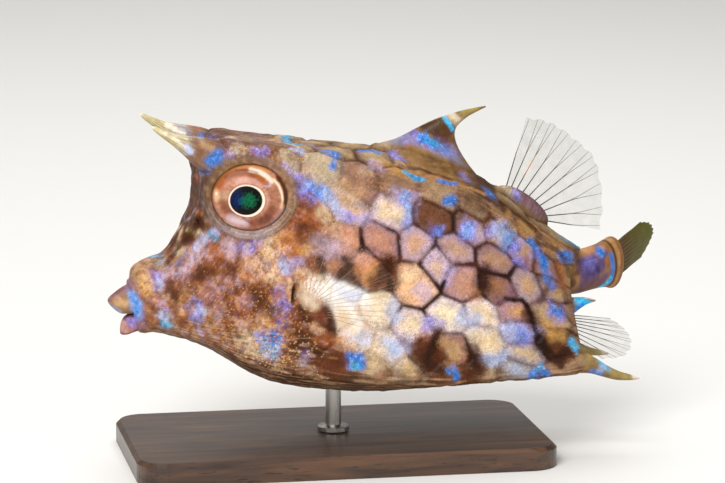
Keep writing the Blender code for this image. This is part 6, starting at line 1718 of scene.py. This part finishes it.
shapes, colours, dots = [(skin_points, skin_faces)], [skin_colours], [skin_dots]
for name, (rings, marks, ground, reach) in flesh.items():
    points, faces = rings_shape(rings)
    paint = part_paint(points, ground, marks)
    if name == "dorsal_lobe":
        lines = np.sin(8.5 * (0.8 * points[:, 0] - 0.6 * points[:, 2]) + ripple(points, 2.0, 57))
        blend(paint, "3A2A2C", 0.4 * smooth(0.1, 0.9, lines))
    take_paint(points, paint, skin_points, skin_colours, reach)
    shapes.append((points, faces))
    colours.append(paint)
    dots.append(np.full(len(points), 0.2))
points, faces = joined(shapes)
mounted(mesh_of("fish_skin", points, faces, SKIN, np.concatenate(colours), speck=np.concatenate(dots)),
        "skin", "head", "carapace", "tail_stalk", "upper_lip", "lower_lip", "dorsal_fin_base",
        "anal_fin_base", "pectoral_base_left", "pectoral_base_right")


def horn_paint(points, rings):
    """Brown at the root, pale lavender, then olive-yellow with fine pale lines, milk-white at the tip."""
    rows, columns = rings.shape[:2]
    s = np.concatenate([np.repeat(np.linspace(0, 1, rows), columns), [0, 1]])
    turn = np.concatenate([np.tile(around(columns), rows), [0, 0]])
    paint = np.tile(linear("806450"), (len(points), 1))
    blend(paint, "A69A90", smooth(0.30, 0.46, s))
    blend(paint, "B4A470", smooth(0.48, 0.62, s))
    blend(paint, "C4B684", smooth(0.7, 0.85, s))
    blend(paint, "D8D8C8", smooth(0.9, 0.97, s))
    stripes = 0.5 + 0.5 * np.sin(turn * 14 + ripple(points, 3.0, 55) * 0.6)
    blend(paint, "DCD6C0", 0.45 * smooth(0.6, 0.95, stripes) * smooth(0.3, 0.5, s))
    blend(paint, "6A5634", 0.4 * smooth(0.35, 0.05, stripes) * smooth(0.3, 0.5, s) * smooth(0.95, 0.8, s))
    return paint


def bone_piece(node_name, form, ground, marks, mottle=0.06, reach=1.4):
    """A horn, spine or thorn. Its root takes on the skin's paint. Horns have a ground of their own."""
    points, faces = rings_shape(bone[form])
    paint = part_paint(points, ground or horn_paint(points, bone[form]), marks, mottle)
    take_paint(points, paint, skin_points, skin_colours, reach)
    mounted(mesh_of(node_name + "_bone", points, faces, HORN_LOOK, paint), "horns", node_name)


for name, side in SIDES:
    bone_piece("horn_" + name, "horn_" + name, None, "horn_" + name, 0.05)
    bone_piece("rear_spine_" + name, "spine_" + name, "8A7048", "spine")
    eye_piece(name, side, EYE)
bone_piece("dorsal_thorn", "thorn", "7A6038", "thorn", reach=1.2)

# Fins: the curve of the rays' roots, the curve of their tips, the number of gaps between rays.
for name, side in SIDES:
    fin_pieces("pectoral_" + name, "pectoral_fin_" + name,
               [(-13.9, 14.7 * side, -6.8), (-12.6, 14.9 * side, -7.4), (-11.5, 15.0 * side, -8.3),
                (-10.7, 15.1 * side, -9.4), (-10.1, 15.1 * side, -10.7), (-9.7, 15.1 * side, -12.1)],
               [(-14.0, 16.4 * side, 5.2), (-10.2, 17.4 * side, 6.0), (-6.1, 18.2 * side, 4.6),
                (-2.4, 18.8 * side, 1.9), (0.9, 19.2 * side, -1.7), (3.8, 19.5 * side, -4.6),
                (5.9, 19.6 * side, -7.5), (5.6, 19.6 * side, -10.4), (4.9, 19.4 * side, -12.6),
                (1.9, 18.8 * side, -15.3)],
               14, FIN_RAY, PECTORAL_WEB, "fin_rays", 0.043, (0, 0.7 * side, 0), ("A87450", "BE9674"))
# The orange and rust dots on the dorsal fin's rays are painted glints of light.
fin_pieces("dorsal", "dorsal_fin",
           [(29.6, 0, 11.0), (31.6, 0, 10.3), (33.9, 0, 8.9), (36.0, 0, 7.0), (37.6, 0, 5.0), (38.4, 0, 2.9)],
           [(33.5, 0, 24.3), (37.3, 0, 23.6), (40.4, 0, 22.1), (44.1, 0, 19.3), (47.3, 0, 16.2),
            (48.8, 0, 12.1), (49.5, 0, 5.9), (48.9, 0, 0.9)],
           9, FIN_RAY, FIN_WEB, "fin_rays", 0.13, colours=("544C44", "7A7468"),
           dots="orange .9 .8 34.0,13.0 34.8,15.6\nrust .8 .5 30.2,16.0")
fin_pieces("anal", "anal_fin",
           [(43.2, 0, -16.6), (43.45, 0, -18.0), (43.5, 0, -19.5), (43.2, 0, -21.2)],
           [(51.2, 0, -17.4), (54.2, 0, -19.6), (55.9, 0, -22.4), (54.6, 0, -25.4), (49.6, 0, -26.0)],
           8, FIN_RAY, FIN_WEB, "fin_rays", 0.1, colours=("5A5048", "7E7468"))
fin_pieces("tail", "tail_fin",
           [(54.55, 8.3, -3.4), (54.55, 8.3, -5.8), (54.55, 8.3, -8.2), (54.55, 8.3, -10.6)],
           [(61.6, 16.0, -0.6), (64.2, 18.0, -1.2), (65.2, 18.6, -3.0), (64.2, 17.8, -5.2),
            (61.8, 15.6, -8.0)],
           9, FIN_RAY, TAIL_WEB, "tail_rays", 0.2, colours=("5E401C", "5E5E26"))

# The stand keeps its solids.
for name, look in (("stand_base", WOOD), ("stand_rod", STEEL)):
    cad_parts[name].data.materials.clear()
    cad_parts[name].data.materials.append(look)

# Camera where the photo was taken from.
azimuth, height = math.radians(CAMERA_AZIMUTH), math.radians(CAMERA_HEIGHT)
level = math.cos(height)
back = Vector((math.sin(azimuth) * level, -math.cos(azimuth) * level, math.sin(height)))
target = Vector((SHIFT_X, 0, FLOOR)) / 1000
camera_data = bpy.data.cameras.new("camera")
camera_data.sensor_width = SENSOR
camera_data.lens = SENSOR * CAMERA_DISTANCE / (PHOTO_WIDTH * PHOTO_MM_PER_PIXEL)
camera_data.clip_start = 0.01
camera = bpy.data.objects.new("camera", camera_data)
camera.location = target + back * CAMERA_DISTANCE / 1000
camera.rotation_euler = back.to_track_quat("Z", "Y").to_euler()
bpy.context.scene.collection.objects.link(camera)
bpy.context.scene.camera = camera

# Plain pale floor of matt paper that bends up into a backdrop: rows of y, z in metres.
bend = np.linspace(0, math.pi / 2, 40)
rows = [(-2.0, 0.0)] + [(1.2 + 1.5 * math.sin(a), 1.5 * (1 - math.cos(a))) for a in bend] + [(2.7, 3.5)]
sweep = bpy.data.meshes.new("floor")
sweep.from_pydata([(x, y, z) for y, z in rows for x in (-4.0, 4.0)], [],
                  [(2 * i, 2 * i + 1, 2 * i + 3, 2 * i + 2) for i in range(len(rows) - 1)])
sweep.shade_smooth()
floor = bpy.data.objects.new("floor", sweep)
bpy.context.scene.collection.objects.link(floor)
paper, tree, shader, where = new_look("pale_paper")
feed(shader, {"Base Color": rgb("E6E4E0"), "Roughness": 0.85})
sweep.materials.append(paper)

# Soft studio lights: key upper left in front, weak fill from the right, top light, and one for the
# floor behind. Each row holds name, size in metres, watts, place and aim.
behind = Vector((0.0, 0.75, 0.0))
for name, size, power, where_at, aim in (
        ("key", 0.5, 9.0, (-0.35, -0.65, 0.65), target), ("fill", 0.7, 1.6, (0.7, -0.6, 0.25), target),
        ("top", 0.6, 3.0, (0.05, 0.25, 0.75), target), ("floor", 1.0, 4.0, (0.0, 0.95, 0.85), behind)):
    light_data = bpy.data.lights.new(name, "AREA")
    light_data.size, light_data.energy = size, power
    light = bpy.data.objects.new(name, light_data)
    light.location = where_at
    light.rotation_euler = (Vector(where_at) - aim).to_track_quat("Z", "Y").to_euler()
    bpy.context.scene.collection.objects.link(light)
world = bpy.context.scene.world or bpy.data.worlds.new("studio")
bpy.context.scene.world = world
world.use_nodes = True
feed(world.node_tree.nodes["Background"], {"Color": (1, 1, 1, 1), "Strength": 0.24})
bpy.context.scene.view_settings.view_transform = "Standard"
